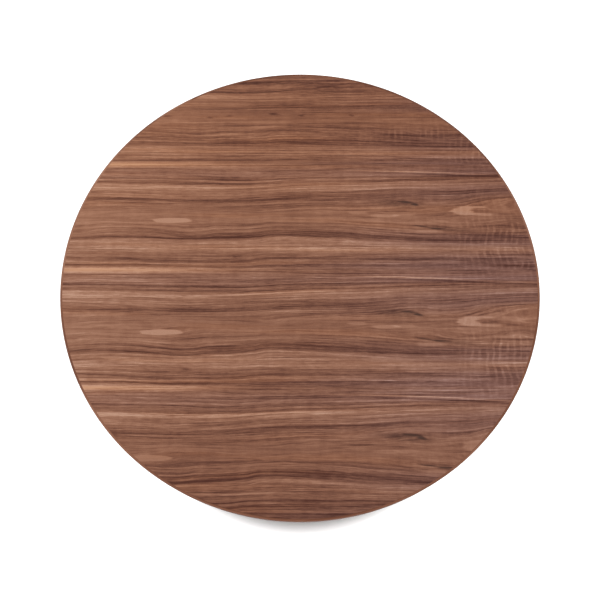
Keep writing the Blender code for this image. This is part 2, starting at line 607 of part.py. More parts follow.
def make_glides(m, parents):
    """Screw-in levelling feet, turned fully home."""
    neck_top, eased, pad, neck = FOOT_UNDERSIDE - GAP, 0.0015, GLIDE_PAD_HEIGHT, GLIDE_NECK_RADIUS
    stem_top = neck_top + GLIDE_STEM
    profile = [(0, 0), (GLIDE_RADIUS - eased, 0), (GLIDE_RADIUS, eased), (GLIDE_RADIUS, pad)]
    profile += [(GLIDE_RADIUS - 0.0025, pad + 0.0025), (neck, pad + 0.0032), (neck, neck_top)]
    profile += [(GLIDE_STEM_RADIUS, neck_top), (GLIDE_STEM_RADIUS, stem_top), (0, stem_top)]
    for name, angle in LEG_ANGLES.items():
        place = out_along(angle, FOOT_RADIUS, 0)
        add_object(f"glide_{name}", turned(profile, 16), m["nylon"], place, parents[name])


# ---------------------------------------------------------------- assembly
def add_empty(name, x, y, z, parent=None):
    """A joint's axis, or the table's own origin."""
    made = bpy.data.objects.new(name, None)
    bpy.context.scene.collection.objects.link(made)
    made.empty_display_size = 0.05
    made.parent = parent
    if parent is not None:
        made.matrix_parent_inverse = parent.matrix_world.inverted()
    made.matrix_world = at(x, y, z)
    bpy.context.view_layer.update()
    return made


def build():
    for old in list(bpy.data.objects):
        bpy.data.objects.remove(old)
    m = make_materials()
    root = add_empty("table_origin", 0, 0, 0)
    tilt = add_empty("tilt_axis", 0, PIVOT_Y, PIVOT_Z, root)
    slide = add_empty("bolt_axis", 0, BLOCK_HALF, BOLT_Z, tilt)
    core, backing = make_top(m, tilt)
    make_bearers(m, tilt, core, backing)
    make_catch(m, tilt, slide, core, backing)
    block = make_block(m, root)
    make_pivot(m, root)
    make_bumpers(m, root)
    make_keeper(m, root, block)
    make_column(m, root)
    hub = make_hub(m, root)
    make_legs(m, root, hub)
    make_spider(m, root)
    make_tie_rod(m, root)
    axes = {}
    for name, angle in LEG_ANGLES.items():
        spot = out_along(angle, FOOT_RADIUS, 0).translation
        axes[name] = add_empty(f"glide_axis_{name}", *spot, root)
    make_glides(m, axes)


build()
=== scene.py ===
"""Looks of the tilt-top table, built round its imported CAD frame: finer meshes, materials, light and camera.

Metres, +Z up, the grain of the top along X, the front at -Y. Each new piece rides on the CAD body that its
node belongs to, and stands for that node.
"""

from math import cos, pi, radians, sin

import bmesh
import bpy
from mathutils import Matrix, Vector


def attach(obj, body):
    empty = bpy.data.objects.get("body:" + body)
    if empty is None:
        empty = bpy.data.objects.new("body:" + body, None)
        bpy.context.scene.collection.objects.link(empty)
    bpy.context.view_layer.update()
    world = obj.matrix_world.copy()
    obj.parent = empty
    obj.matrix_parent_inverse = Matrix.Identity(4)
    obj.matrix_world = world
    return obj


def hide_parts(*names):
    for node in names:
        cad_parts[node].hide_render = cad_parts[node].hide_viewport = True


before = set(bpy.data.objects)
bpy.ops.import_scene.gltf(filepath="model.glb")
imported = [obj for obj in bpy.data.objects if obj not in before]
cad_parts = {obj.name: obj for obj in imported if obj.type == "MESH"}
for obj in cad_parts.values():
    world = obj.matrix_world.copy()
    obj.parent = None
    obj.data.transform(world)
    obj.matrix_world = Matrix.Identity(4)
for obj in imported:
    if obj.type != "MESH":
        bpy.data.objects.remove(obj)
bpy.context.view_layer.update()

# ---- the frame's dimensions
TABLE_HEIGHT = 0.740
TOP_RADIUS = 0.5335
TOP_THICKNESS = 0.025
VENEER = 0.0006
LIPPING = 0.005
LIPPING_ARRIS = 0.0015
GAP = 0.0003
BLOCK_HALF = 0.0735
BLOCK_HEIGHT = 0.050
PIVOT_ROD_RADIUS = 0.005
PIVOT_BUSH_RADIUS = 0.007
BUMPER_HEIGHT = 0.0022
BUMPER_RADIUS = 0.006
BUMPER_X = 0.055
BEARER_INNER_X = 0.0765
BEARER_WIDTH = 0.032
BEARER_DEPTH = 0.044
BEARER_END_DEPTH = 0.018
BEARER_HALF_LENGTH = 0.400
BEARER_FLAT = 0.120
RAIL_FRONT_Y = 0.084
RAIL_THICKNESS = 0.030
RAIL_DEPTH = 0.040
BOLT_RADIUS = 0.005
BOLT_TRAVEL = 0.012
SLEEVE_RADIUS = 0.0065
FLANGE_RADIUS = 0.011
FLANGE_THICKNESS = 0.002
KNOB_RADIUS = 0.010
KNOB_COLLAR_RADIUS = 0.006
KNOB_CENTRE = 0.0112
SCREW_LENGTH = 0.032
SCREW_BITE = 0.014
SCREW_RADIUS = 0.00225
SCREW_HEAD_RADIUS = 0.0045
SCREW_HEAD_HEIGHT = 0.0028
COUNTERBORE_RADIUS = 0.0055
BEARER_SCREW_Y = {"front": -0.300, "middle": 0.060, "rear": 0.300}
RAIL_SCREW_X = 0.045
CAP_RADIUS = 0.011
CAP_RIM = 0.003
CAP_DOME_RADIUS = 0.0105
KEEPER_WIDTH = 0.042
KEEPER_HEIGHT = 0.022
KEEPER_THICKNESS = 0.0016
KEEPER_SCREW_X = 0.0145
KEEPER_SCREW_DEPTH = 0.012
KEEPER_SCREW_RADIUS = 0.0013
KEEPER_SCREW_HEAD_RADIUS = 0.0027
BOLT_HOLE_DEPTH = 0.016
HUB_HALF = 0.055
HUB_BOTTOM = 0.046
HUB_TOP = 0.126
COLUMN_BOTTOM_RADIUS = 0.047
COLUMN_TOP_RADIUS = 0.043
COLUMN_WAIST_RADIUS = 0.029
COLUMN_WAIST_Z = 0.400
TENON_RADIUS = 0.020
TENON_LENGTH = 0.030
TIE_ROD_RADIUS = 0.005
NUT_HEIGHT = 0.008
NUT_RADIUS = 0.0098
WASHER_RADIUS = 0.0120
WASHER_HEIGHT = 0.002
NUT_SINK = 0.002
FOOT_RADIUS = 0.415
LEG_REACH = 0.440
LEG_TOP = 0.120
LEG_HALF_WIDTH = 0.018
TOE_HALF_WIDTH = 0.013
TOE_HEIGHT = 0.040
FOOT_UNDERSIDE = 0.014
LEG_ROUNDING = 0.0045
GLIDE_RADIUS = 0.014
GLIDE_PAD_HEIGHT = 0.006
GLIDE_NECK_RADIUS = 0.008
GLIDE_STEM_RADIUS = 0.004
GLIDE_STEM = 0.020
SPIDER_THICKNESS = 0.003
SPIDER_REACH = 0.126
SPIDER_ARM_HALF = 0.011
SPIDER_SCREW_AT = 0.108
SPIDER_SCREW_RADIUS = 0.0016
SPIDER_SCREW_HEAD_RADIUS = 0.0034
SPIDER_SCREW_HEAD_HEIGHT = 0.0019
SPIDER_SCREW_BITE = 0.011

WELD = 0.000002
OVERSHOOT = 0.010  # how far a cutter runs past the face it opens
GLUED_GAP = 0.00002
EASED_VENEER = 0.00015
EASED_WOOD = 0.0015
UPRIGHT_BUMPER_RISE = 0.012
GROOVE = 0.0008
GROOVE_FROM_END = 0.0145
FACE_RADIUS = TOP_RADIUS - LIPPING - GLUED_GAP
UNDERSIDE = TABLE_HEIGHT - TOP_THICKNESS
WOOD_TOP = UNDERSIDE - GAP
PIVOT_Z = UNDERSIDE - 0.024
BOLT_Z = UNDERSIDE - 0.023
BLOCK_TOP = UNDERSIDE - BUMPER_HEIGHT - 2 * GAP
BLOCK_BOTTOM = BLOCK_TOP - BLOCK_HEIGHT
BLOCK_EDGE_RADIUS = BLOCK_TOP - PIVOT_Z
PIVOT_Y = -BLOCK_HALF + BLOCK_EDGE_RADIUS
SPIDER_TOP = HUB_BOTTOM - GAP
SPIDER_BOTTOM = SPIDER_TOP - SPIDER_THICKNESS
TIE_ROD_BOTTOM = SPIDER_BOTTOM - WASHER_HEIGHT - NUT_HEIGHT - NUT_SINK
TIE_NUT_SEAT = BLOCK_TOP - NUT_SINK - NUT_HEIGHT - WASHER_HEIGHT
LEG_ANGLES = {"front_left": 225, "front_right": 315, "rear_right": 45, "rear_left": 135}
SIDES = {"left": -1, "right": 1}


def turn_about(axis, degrees):
    return Matrix.Rotation(radians(degrees), 4, axis)


# Turns that lay a shape made along Z onto another axis.
ALONG_X = turn_about("Y", 90)
ALONG_Y = turn_about("X", -90)
FORWARD = turn_about("X", 90)
UPRIGHT = Matrix.Identity(4)
UPSIDE_DOWN = turn_about("X", 180)
QUARTER_TURN = turn_about("Z", 90)


# ---- shader nodes written as sums
def operation(name, swapped=False):
    """A method of Value that puts one math node on its numbers."""

    def apply(self, *others):
        numbers = (*others, self) if swapped else (self, *others)
        return self.graph.maths(name, *numbers)

    return apply


class Value:
    """One number of a shader, as a socket that can be added, multiplied and so on."""

    __add__ = __radd__ = operation("ADD")
    __mul__ = __rmul__ = operation("MULTIPLY")
    __sub__ = operation("SUBTRACT")
    __rsub__ = operation("SUBTRACT", swapped=True)
    __truediv__ = operation("DIVIDE")
    floor = operation("FLOOR")
    wave = operation("SINE")
    size = operation("ABSOLUTE")
    root = operation("SQRT")

    def __init__(self, graph, socket):
        self.graph = graph
        self.socket = socket

    def smooth(self, low, high, start=0, end=1):
        """start below low, end above high, and a smooth step between them."""
        names = ("Value", "From Min", "From Max", "To Min", "To Max")
        feeds = zip(names, (self, low, high, start, end))
        node = self.graph.node("ShaderNodeMapRange", feeds, interpolation_type="SMOOTHSTEP")
        return Value(self.graph, node.outputs["Result"])

    def hump(self, centre, reach):
        """1 at centre, falling smoothly to 0 at that distance from it."""
        return (self - centre).size().smooth(0, reach, 1, 0)

    def curve(self, results):
        """A smooth curve through the result for each value, level beyond the first and last."""
        points = list(results.items())
        lows = [min(p[k] for p in points) for k in (0, 1)]
        spans = [max(p[k] for p in points) - lows[k] for k in (0, 1)]
        node = self.graph.node("ShaderNodeFloatCurve")
        line = node.mapping.curves[0]
        scaled = [((a - lows[0]) / spans[0], (b - lows[1]) / spans[1]) for a, b in points]
        line.points[0].location = scaled[0]
        line.points[1].location = scaled[-1]
        for spot in scaled[1:-1]:
            line.points.new(*spot)
        for point in line.points:
            point.handle_type = "AUTO_CLAMPED"
        node.mapping.update()
        self.graph.feed(node.inputs["Value"], (self - lows[0]) / spans[0])
        return Value(self.graph, node.outputs["Value"]) * spans[1] + lows[1]


class Graph:
    """The nodes of a new material, or of the world."""

    def __init__(self, name, kind=bpy.data.materials):
        self.owner = kind.new(name)
        self.owner.use_nodes = True
        self.tree = self.owner.node_tree

    def node(self, kind, feeds=(), **settings):
        """A new node, with the (input, value) pairs that feed it and its settings."""
        made = self.tree.nodes.new(kind)
        for name, setting in settings.items():
            setattr(made, name, setting)
        for key, value in feeds:
            self.feed(made.inputs[key], value)
        return made

    def feed(self, socket, value):
        if isinstance(value, Value):
            value = value.socket
        if isinstance(value, bpy.types.NodeSocket):
            self.tree.links.new(value, socket)
        else:
            socket.default_value = value

    def maths(self, operation_name, *values):
        made = self.node("ShaderNodeMath", enumerate(values), operation=operation_name)
        return Value(self, made.outputs["Value"])

    def place(self):
        """The point's own x, y and z on its piece."""
        point = self.node("ShaderNodeTexCoord").outputs["Object"]
        split = self.node("ShaderNodeSeparateXYZ", [(0, point)])
        return [Value(self, out) for out in split.outputs]

    def noise(self, x, y, z, detail=2, rough=0.5):
        """Soft noise about 0, mostly within -0.3 and 0.3."""
        point = self.node("ShaderNodeCombineXYZ", enumerate((x, y, z))).outputs["Vector"]
        feeds = {"Vector": point, "Scale": 1, "Detail": detail, "Roughness": rough}
        return Value(self, self.node("ShaderNodeTexNoise", feeds.items()).outputs[0]) - 0.5

    def grain(self, scale, detail=2, rough=0.5):
        """The same noise, as fine as scale in every direction."""
        return self.noise(*(value * scale for value in self.place()), detail, rough)

    def worn(self, sharpest):
        """0 on flat faces, rising to 1 on outer edges with that pointiness."""
        pointed = Value(self, self.node("ShaderNodeNewGeometry").outputs["Pointiness"])
        return pointed.smooth(0.52, sharpest)

    def ramp(self, value, stops):
        """A colour for a number, from (number, sRGB colour) stops."""
        made = self.node("ShaderNodeValToRGB")
        marks = made.color_ramp.elements
        while len(marks) < len(stops):
            marks.new(0.5)
        for mark, (where, colour) in zip(marks, stops):
            mark.position = where
            mark.color = (*linear(colour), 1)
        self.feed(made.inputs["Fac"], value)
        return made.outputs["Color"]

    def blend(self, share, low, high, kind="MIX"):
        made = self.node("ShaderNodeMix", data_type="RGBA", blend_type=kind)
        self.feed(made.inputs["Factor"], share)
        for name, colour in (("A", low), ("B", high)):
            socket = next(s for s in made.inputs if s.name == name and s.type == "RGBA")
            self.feed(socket, colour if isinstance(colour, bpy.types.NodeSocket) else (*colour, 1))
        return next(s for s in made.outputs if s.type == "RGBA")

    def tint(self, share, colour, factors):
        """The colour, multiplied by the factors where share is 1."""
        return self.blend(share, colour, self.blend(1, colour, factors, "MULTIPLY"))

    def blots(self, x, y, spots):
        """A sum of soft ellipses, each (x, y, half width, half height, hardness, strength)."""
        total = 0
        for middle_x, middle_y, half_width, half_height, hardness, strength in spots:
            dx = (x - middle_x) / half_width
            dy = (y - middle_y) / half_height
            total += (dx * dx + dy * dy).root().smooth(hardness, 1, 1, 0) * strength
        return total

    def finish(self, colour, roughness, height=None, depth=0, specular=0.5, metallic=0):
        """Joins the colour, the roughness and any bump to the shader."""
        feeds = {"Base Color": colour, "Roughness": roughness}
        feeds |= {"Specular IOR Level": specular, "Metallic": metallic}
        if height is not None:
            bump = {"Strength": 0.6, "Distance": depth, "Height": height}
            feeds["Normal"] = self.node("ShaderNodeBump", bump.items()).outputs["Normal"]
        for name, value in feeds.items():
            self.feed(self.tree.nodes["Principled BSDF"].inputs[name], value)
        return self.owner


def linear(colour):
    """An sRGB colour of 0 to 255 as the linear numbers that a shader takes."""
    shares = [c / 255 for c in colour]
    return tuple(c / 12.92 if c <= 0.04045 else ((c + 0.055) / 1.055) ** 2.4 for c in shares)


# ---- the face veneer
LEAF_WIDTH = 0.269
FIRST_JOINT_Y = 0.5444
LEAF_SLIP = 0.008

# Across a leaf from its rear edge, 0, to its front edge, 1: how light the figure is, 0 dark, 1 light.
REAR_HALF = {
    0: 0.45, 0.012: 0.52, 0.028: 0.5, 0.04: 0.4, 0.05: 0.47, 0.06: 0.36, 0.07: 0.48, 0.085: 0.42,
    0.1: 0.52, 0.112: 0.5, 0.125: 0.42, 0.135: 0.2, 0.144: 0.42, 0.155: 0.45, 0.163: 0.32, 0.172: 0.12,
    0.181: 0.24, 0.19: 0.52, 0.2: 0.72, 0.215: 0.8, 0.235: 0.7, 0.25: 0.66, 0.262: 0.58, 0.275: 0.66,
    0.29: 0.55, 0.305: 0.48, 0.318: 0.32, 0.33: 0.2, 0.345: 0.18, 0.358: 0.3, 0.372: 0.45, 0.385: 0.4,
    0.4: 0.47, 0.415: 0.42, 0.43: 0.52, 0.46: 0.55, 0.5: 0.56,
}
FRONT_HALF = {
    0.5: 0.56, 0.56: 0.55, 0.58: 0.5, 0.592: 0.34, 0.602: 0.5, 0.62: 0.48, 0.632: 0.38, 0.645: 0.47,
    0.66: 0.38, 0.675: 0.24, 0.69: 0.13, 0.705: 0.17, 0.72: 0.32, 0.732: 0.55, 0.745: 0.68, 0.76: 0.74,
    0.775: 0.65, 0.79: 0.72, 0.81: 0.68, 0.825: 0.6, 0.84: 0.57, 0.852: 0.48, 0.86: 0.22, 0.868: 0.48,
    0.88: 0.4, 0.893: 0.22, 0.905: 0.17, 0.918: 0.32, 0.93: 0.56, 0.94: 0.6, 0.95: 0.45, 0.958: 0.18,
    0.967: 0.42, 0.98: 0.46, 0.99: 0.42, 1: 0.42,
}

# How far four lines of the figure wander across the leaf as they run from left to right.
REAR_LINE = {
    -0.54: 0, -0.45: 0, -0.25: 0.01, -0.15: 0.02, -0.1: 0.013, 0: -0.005, 0.1: -0.012, 0.2: -0.022,
    0.3: -0.03, 0.4: -0.04, 0.54: -0.055,
}
UPPER_BAND = {
    -0.54: -0.01, -0.5: -0.005, -0.4: 0, -0.3: 0.015, -0.25: 0.02, -0.15: 0.01, -0.1: -0.005, 0: -0.025,
    0.1: -0.03, 0.2: -0.055, 0.25: -0.07, 0.3: -0.065, 0.35: -0.07, 0.4: -0.095, 0.45: -0.115,
    0.54: -0.14,
}
ARCH = {
    -0.54: 0.02, -0.5: 0.01, -0.4: -0.01, -0.3: 0.01, -0.25: 0.02, -0.2: 0.005, -0.15: 0, -0.1: -0.015,
    -0.05: -0.034, 0: -0.03, 0.05: -0.02, 0.1: -0.01, 0.15: 0.01, 0.2: 0.025, 0.25: 0.04, 0.3: 0.05,
    0.4: 0.06, 0.54: 0.06,
}
FRONT_LINE = {
    -0.54: -0.01, -0.5: -0.005, -0.4: 0, -0.3: 0.018, -0.2: 0.02, -0.16: 0.02, -0.1: 0.005, -0.05: 0,
    0.3: -0.003, 0.4: 0.004, 0.54: 0,
}
# Each line's place across the leaf, and how far from it the line still bends the figure.
FLOW_LINES = [(REAR_LINE, 0.15, 0.15), (UPPER_BAND, 0.32, 0.18)]
FLOW_LINES += [(ARCH, 0.66, 0.18), (FRONT_LINE, 0.91, 0.14)]
# The rear-most leaf is cut higher in the log: its lines lie further forward.
REAR_LEAF = {
    0: 0, 0.11: 0.13, 0.24: 0.175, 0.39: 0.32, 0.6: 0.592, 0.78: 0.69, 0.91: 0.86, 0.955: 0.905, 1: 1,
}
# Where the right-hand end of the leaf turns purple-brown, across the leaf.
PURPLE = {
    -0.05: 0.9, 0.1: 0.9, 0.18: 0.4, 0.24: 0.5, 0.34: 0.9, 0.42: 0.5, 0.5: 0.15, 0.58: 0.2, 0.66: 0.9,
    0.74: 0.9, 0.8: 0.4, 0.86: 0.6, 0.92: 1, 1.05: 1,
}
# Smooth pale patches on every whole leaf: x, place across it, half length, half width, hardness, share.
PATCHES = [
    (-0.303, 0.545, 0.052, 0.029, 0.75, 0.95), (0.285, 0.648, 0.052, 0.026, 0.3, 0.6),
    (0.366, 0.455, 0.032, 0.056, 0.55, 0.85), (0.398, 0.418, 0.045, 0.017, 0.4, 0.75),
    (0.412, 0.486, 0.056, 0.022, 0.4, 0.75), (0.43, 0.53, 0.054, 0.01, 0.2, 0.35),
    (0.3, 0.44, 0.048, 0.017, 0.3, 0.4), (0.125, 0.473, 0.034, 0.018, 0.5, 0.5),
    (0.186, 0.498, 0.043, 0.02, 0.55, 0.6), (0.232, 0.494, 0.033, 0.02, 0.5, 0.5),
    (0.42, 0.44, 0.06, 0.01, 0.1, 0.4), (0.47, 0.5, 0.05, 0.006, 0.1, 0.45),
    (0.455, 0.545, 0.05, 0.005, 0.1, 0.4), (0.17, 0.53, 0.08, 0.006, 0.1, 0.3),
]
PALE = 0.86
# Thin dark marks on every whole leaf, in the same form: the last number is how much darker.
MARKS = [
    (0.125, 0.447, 0.048, 0.009, 0.2, 0.29), (0.205, 0.46, 0.066, 0.006, 0.1, 0.3),
    (0.34, 0.5, 0.072, 0.009, 0.1, 0.18), (-0.39, 0.372, 0.042, 0.01, 0.1, 0.26),
    (-0.345, 0.386, 0.072, 0.007, 0.1, 0.2), (-0.155, 0.88, 0.008, 0.014, 0.1, 0.14),
    (-0.08, 0.56, 0.02, 0.008, 0.1, 0.2), (0.45, 0.48, 0.06, 0.004, 0.1, 0.2),
    (0.29, 0.395, 0.03, 0.006, 0.1, 0.22),
]
# Soft grey knots on every whole leaf, in the same form, and how steeply they run forward along the leaf.
KNOTS = [
    (0.24, 0.37, 0.026, 0.016, 0.1, 0.5), (0.258, 0.392, 0.014, 0.018, 0.1, 0.5),
    (0.225, 0.385, 0.095, 0.056, 0.1, 0.22), (0.27, 0.6, 0.028, 0.012, 0.1, 0.3),
    (0.305, 0.62, 0.03, 0.014, 0.1, 0.4), (0.33, 0.625, 0.08, 0.034, 0.1, 0.16),
]
KNOT_SLOPE = 0.35
# Small burrs on the rear-most leaf only.
BURRS = [
    (-0.34, 0.495, 0.018, 0.012, 0.1, 0.3), (-0.235, 0.515, 0.014, 0.014, 0.1, 0.32),
    (-0.19, 0.495, 0.014, 0.012, 0.1, 0.28), (-0.08, 0.475, 0.018, 0.015, 0.1, 0.4),
    (-0.01, 0.49, 0.009, 0.018, 0.1, 0.28), (0.11, 0.49, 0.01, 0.024, 0.1, 0.26),
]

WALNUT_TONES = [
    (0, (66, 35, 25)), (0.25, (91, 57, 43)), (0.5, (113, 76, 59)),
    (0.75, (134, 96, 77)), (1, (159, 124, 105)),
]
PURPLE_TINT = (0.8, 0.86, 1.12)
GOLDEN_TINT = (1.1, 0.97, 0.78)
KNOT_GREY = linear((62, 47, 40))
RIPPLE_PITCH = 0.0145
RING_PITCH = 0.0062
# Across a leaf: how strong the ripple is. Along a leaf: the place across it of the bright line.
RIPPLE = {0: 0.3, 0.15: 0.15, 0.4: 0.15, 0.55: 0.4, 0.65: 0.9, 0.85: 0.9, 1: 0.4}
BRIGHT_LINE = {0.04: 0.048, 0.1: 0.055, 0.2: 0.062, 0.3: 0.071, 0.4: 0.086, 0.5: 0.098}
# Streaks along the grain: lengthwise and crosswise counts, change from leaf to leaf, seed, detail, share.
FINE_STREAKS = [
    (5, 85, 2, 5, 3, 0.92), (60, 150, 4, 19, 3, 0.55), (14, 330, 4, 7, 2, 0.64),
]
# Thin dark lines: crosswise count, width, depth, seed.
DARK_THREADS = [(20, 0.03, 0.14, 31), (44, 0.045, 0.13, 37)]


def veneer_flow(g, u, v, drift, crown):
    """How far the lines wander across the leaf: four listed lines, and slow and quick wandering."""
    bend = 0
    for line, centre, reach in FLOW_LINES:
        bend += u.curve(line) * v.hump(centre, reach)
    wander = g.noise(u * 4, v * 5, drift + 3.1) * 0.02 + g.noise(u * 11, v * 16, drift) * 0.014
    bend += wander * (crown * 0.6 + 0.5) + g.noise(u * 32, v * 50, drift + 8) * 0.004
    return bend + g.noise(u * 6, v * 7, drift + 2.2) * crown * 0.1


def veneer_figure(g, u, v, w, drift, crown, rear_leaf):
    """How light the figure is: its bands, which come and go along the leaf, its streaks and its lines."""
    bands = w.curve(REAR_HALF) + w.curve(FRONT_HALF) - REAR_HALF[0.5]
    strength = g.noise(u * 5, w * 24, drift + 9) * 1.1 + 0.95
    contrast = (0.66 - u.smooth(0.28, 0.46) * 0.28) * (1 - rear_leaf * 0.38)
    tone = (bands - 0.5) * strength * contrast + 0.522
    tone += g.noise(u * 2, w * 36, drift + 1.7, 3) * 0.38
    calm = 1 - crown * 0.5
    for along, over, spread, seed, detail, share in FINE_STREAKS:
        tone += g.noise(u * along, w * over, drift * spread + seed, detail) * calm * share
    tone += g.noise(u * 45, v * 7, drift + 12) * 0.2
    tone += g.noise(u * 14, v * 24, drift + 13, 3) * crown * 0.3

    # Thin dark and pale lines that run, join and part along the grain.
    for over, reach, depth, seed in DARK_THREADS:
        thread = g.noise(u * 1.8, w * over, drift + seed)
        tone -= thread.size().smooth(0, reach, depth, 0) * calm
    thread = g.noise(u * 1.5, w * 32, drift + 43)
    tone += thread.size().smooth(0, 0.03, 0.16, 0) * (1 - crown)

    # Growth rings, dark at one sharp edge and fading from it.
    ring = g.noise(u * 0.9, w * 14, drift + 47)
    return tone - ring.smooth(-0.008, 0.002) * ring.smooth(0, 0.13, 0.15, 0) * calm


def veneer_ripple(g, u, v, across, drift, rear_leaf):
    """Fiddleback ripple, mostly at the right-hand end."""
    where = u.smooth(0.3, 0.42) * v.curve(RIPPLE) + u.smooth(0.05, 0.3) * 0.1 + 0.04
    where += rear_leaf * u.hump(0.235, 0.15) * across.hump(0.69, 0.1) * 0.8
    lean = g.noise(u * 9, v * 4, drift + 15) * 0.04
    turns = (u + lean + v * 0.012) * (2 * pi / RIPPLE_PITCH)
    stripes = turns.wave().smooth(-0.2, 1) - 0.4
    broken = g.noise(u * 24, v * 15, drift + 17) * 4 + 0.6
    quick = g.noise(u * 120, v * 9, drift + 18) * 3
    return (stripes * broken * 2.2 + quick) * where * 0.085


def make_face_veneer():
    """Slip-matched walnut leaves: the same figure in each leaf, a little changed from one to the next.

    u is a point's place along its leaf in metres, across and v its place across it, 0 at the rear joint and
    1 at the front one, and w the line of the figure that it lies on.
    """
    g = Graph("walnut_face_veneer")
    x, y, _ = g.place()
    run = (FIRST_JOINT_Y - y) / LEAF_WIDTH
    leaf = run.floor()
    u = x + (leaf - 2) * LEAF_SLIP
    across = run - leaf
    drift = leaf * 0.23
    rear_leaf = leaf.smooth(0, 1, 1, 0)
    whole_leaf = 1 - rear_leaf
    v = across + rear_leaf * (across.curve(REAR_LEAF) - across)
    crown = v.hump(0.5, 0.16)
    bend = veneer_flow(g, u, v, drift, crown)
    w = v - bend * (1 - rear_leaf * 0.65)
    tone = veneer_figure(g, u, v, w, drift, crown, rear_leaf)

    # A pale golden streak along the joint at the left, and the slow lights and darks of the whole top.
    left = u.smooth(-0.48, 0.02, 1, 0)
    streak = (across.hump(0, 0.038) + across.hump(1, 0.03)) * left
    tone += streak * 0.42 - across.hump(0.955, 0.011) * left * 0.3
    # Lighter towards the far left, and painted shade that darkens the front of the top.
    tone += u.smooth(-0.52, -0.15, 0.14, 0) - y.smooth(-0.5, -0.3, 0.15, 0)
    tone -= x.smooth(0, 0.4) * y * 0.28 + y.smooth(0.2, 0.4) * 0.06
    tone += x.hump(0.2, 0.26) * y.hump(0.12, 0.26) * 0.08 + 0.008
    tone += rear_leaf * (u.size().smooth(0.05, 0.3) * 0.05 + u.smooth(0, 0.25) * 0.05)
    flat = w.hump(0.965, 0.05) * u.smooth(-0.15, 0.1)
    tone -= flat * 0.12

    # Local marks, with edges that follow the grain.
    shift_u = g.noise(u * 18, v * 60, drift + 4) * 0.03
    shift_v = g.noise(u * 25, v * 20, drift + 6) * 0.014
    patches = g.blots(u + shift_u, v + shift_v, PATCHES).smooth(0, 1)
    marks = g.blots(u + shift_u, v + shift_v, MARKS)
    burrs = g.blots(u + shift_u, across + shift_v, BURRS)
    leaning = [(along, over - along * KNOT_SLOPE, *rest) for along, over, *rest in KNOTS]
    knots = g.blots(u + shift_u, v + shift_v - u * KNOT_SLOPE, leaning)
    knots = knots * whole_leaf * (g.noise(u * 60, v * 120, drift + 23) * 1.6 + 0.95)
    tone += (PALE - tone) * patches * whole_leaf * leaf.smooth(2, 3, 1, 0.6)
    tone -= marks * whole_leaf + burrs * rear_leaf + knots

    # A bright line that slopes forward at the right-hand end, over a dark one.
    below = v - u.curve(BRIGHT_LINE) + bend * 0.3
    bright = below.hump(0, 0.009) * (u.hump(0.25, 0.24) * 0.8 + u.smooth(0.1, 0.3) * 0.2)
    tone += bright * 0.42 - u.smooth(0.05, 0.26) * below.hump(0.017, 0.01) * 0.26
    tone += veneer_ripple(g, u, v, across, drift, rear_leaf)

    # Open pores: short dark dashes along the grain, and a fine fleck.
    pores = g.noise(x * 110, y * 2600, 2, 1).smooth(0.13, 0.22)
    tone += g.noise(x * 380, y * 900, 5, 1) * 0.24 - pores * 0.1

    purple = u.smooth(-0.05, 0.42) * w.curve(PURPLE) + w.hump(0.09, 0.1) * 0.35 + flat * 0.4
    purple += tone.smooth(0.15, 0.45, 0.4, 0) - bright * 0.9
    golden = streak * 0.7 + g.noise(u * 2, w * 14, drift + 21).smooth(0, 0.3) * 0.4
    golden += y.smooth(-0.1, 0.48) * 0.55 + left * 0.05
    colour = g.tint(purple * 0.8, g.ramp(tone, WALNUT_TONES), PURPLE_TINT)
    colour = g.blend(knots * 0.9, g.tint(golden, colour, GOLDEN_TINT), KNOT_GREY)
    grain = g.noise(u * 14, w * 500, drift + 2, 2)
    roughness = grain * 0.18 + pores * 0.12 + 0.5
    return g.finish(colour, roughness, grain * 0.3 - pores, 0.00012, specular=0.35)


# ---- other materials
def solid_walnut(name, axis, seed):
    """Solid wood cut from a log: growth rings round a distant heart, streaks and pores along the axis."""
    g = Graph(name)
    x, y, z = g.place()
    order = {"X": (x, y, z), "Y": (y, z, x), "Z": (z, x, y)}[axis]
    return finish_solid_walnut(g, *order, seed)


def finish_solid_walnut(g, run, a, b, seed, light=1, dullness=0.46, specular=0.4):
    """Solid walnut whose grain runs along the value run, across the values a and b."""

    def streaks(along, over, shift=0, detail=2):
        return g.noise(run * along, a * over, b * over + (seed + shift), detail)

    da = a + streaks(3, 9) * 0.02 + (0.055 + 0.011 * (seed % 3))
    db = b - 0.041 + g.noise(run * 2 + 7, a * 6, b * 6 + seed) * 0.018
    rings = (da * da + db * db).root()
    uneven = g.noise(rings * 120, seed, run * 0.6, 2)
    tone = ((rings + uneven * 0.004) * (2 * pi / RING_PITCH)).wave() * 0.15 + uneven * 0.7 + 0.46
    tone += streaks(2.2, 75, detail=3) * 0.55 + streaks(9, 420) * 0.36
    pores = streaks(90, 2000, detail=1).smooth(0.14, 0.24)
    worn = g.worn(0.62)
    colour = g.ramp((tone - pores * 0.12) * light + worn * 0.1, WALNUT_TONES)
    colour = g.tint(streaks(1.2, 20, 5).smooth(0, 0.3) * 0.5, colour, PURPLE_TINT)
    colour = g.tint(streaks(1.5, 32, 11).smooth(0, 0.3) * 0.5, colour, GOLDEN_TINT)
    grain = streaks(12, 700)
    roughness = grain * 0.2 + pores * 0.12 - worn * 0.08 + dullness
    return g.finish(colour, roughness, grain * 0.3 - pores, 0.00012, specular=specular)


def lipping_walnut():
    """The planted edge: its grain runs round the rim, in six lengths."""
    g = Graph("walnut_lipping")
    x, y, z = g.place()
    turn = g.maths("ARCTAN2", y, x)
    radial = (x * x + y * y).root() - TOP_RADIUS
    length = (turn * (3 / pi)).floor()
    # Lighter towards the left, and painted shade that darkens the front of the rim.
    light = x.smooth(-0.5, 0, 1.14, 0.92) - y.smooth(-0.53, -0.3, 0.24, 0)
    return finish_solid_walnut(g, turn * TOP_RADIUS, radial, z + length * 0.37, 4, light, 0.64, 0.2)


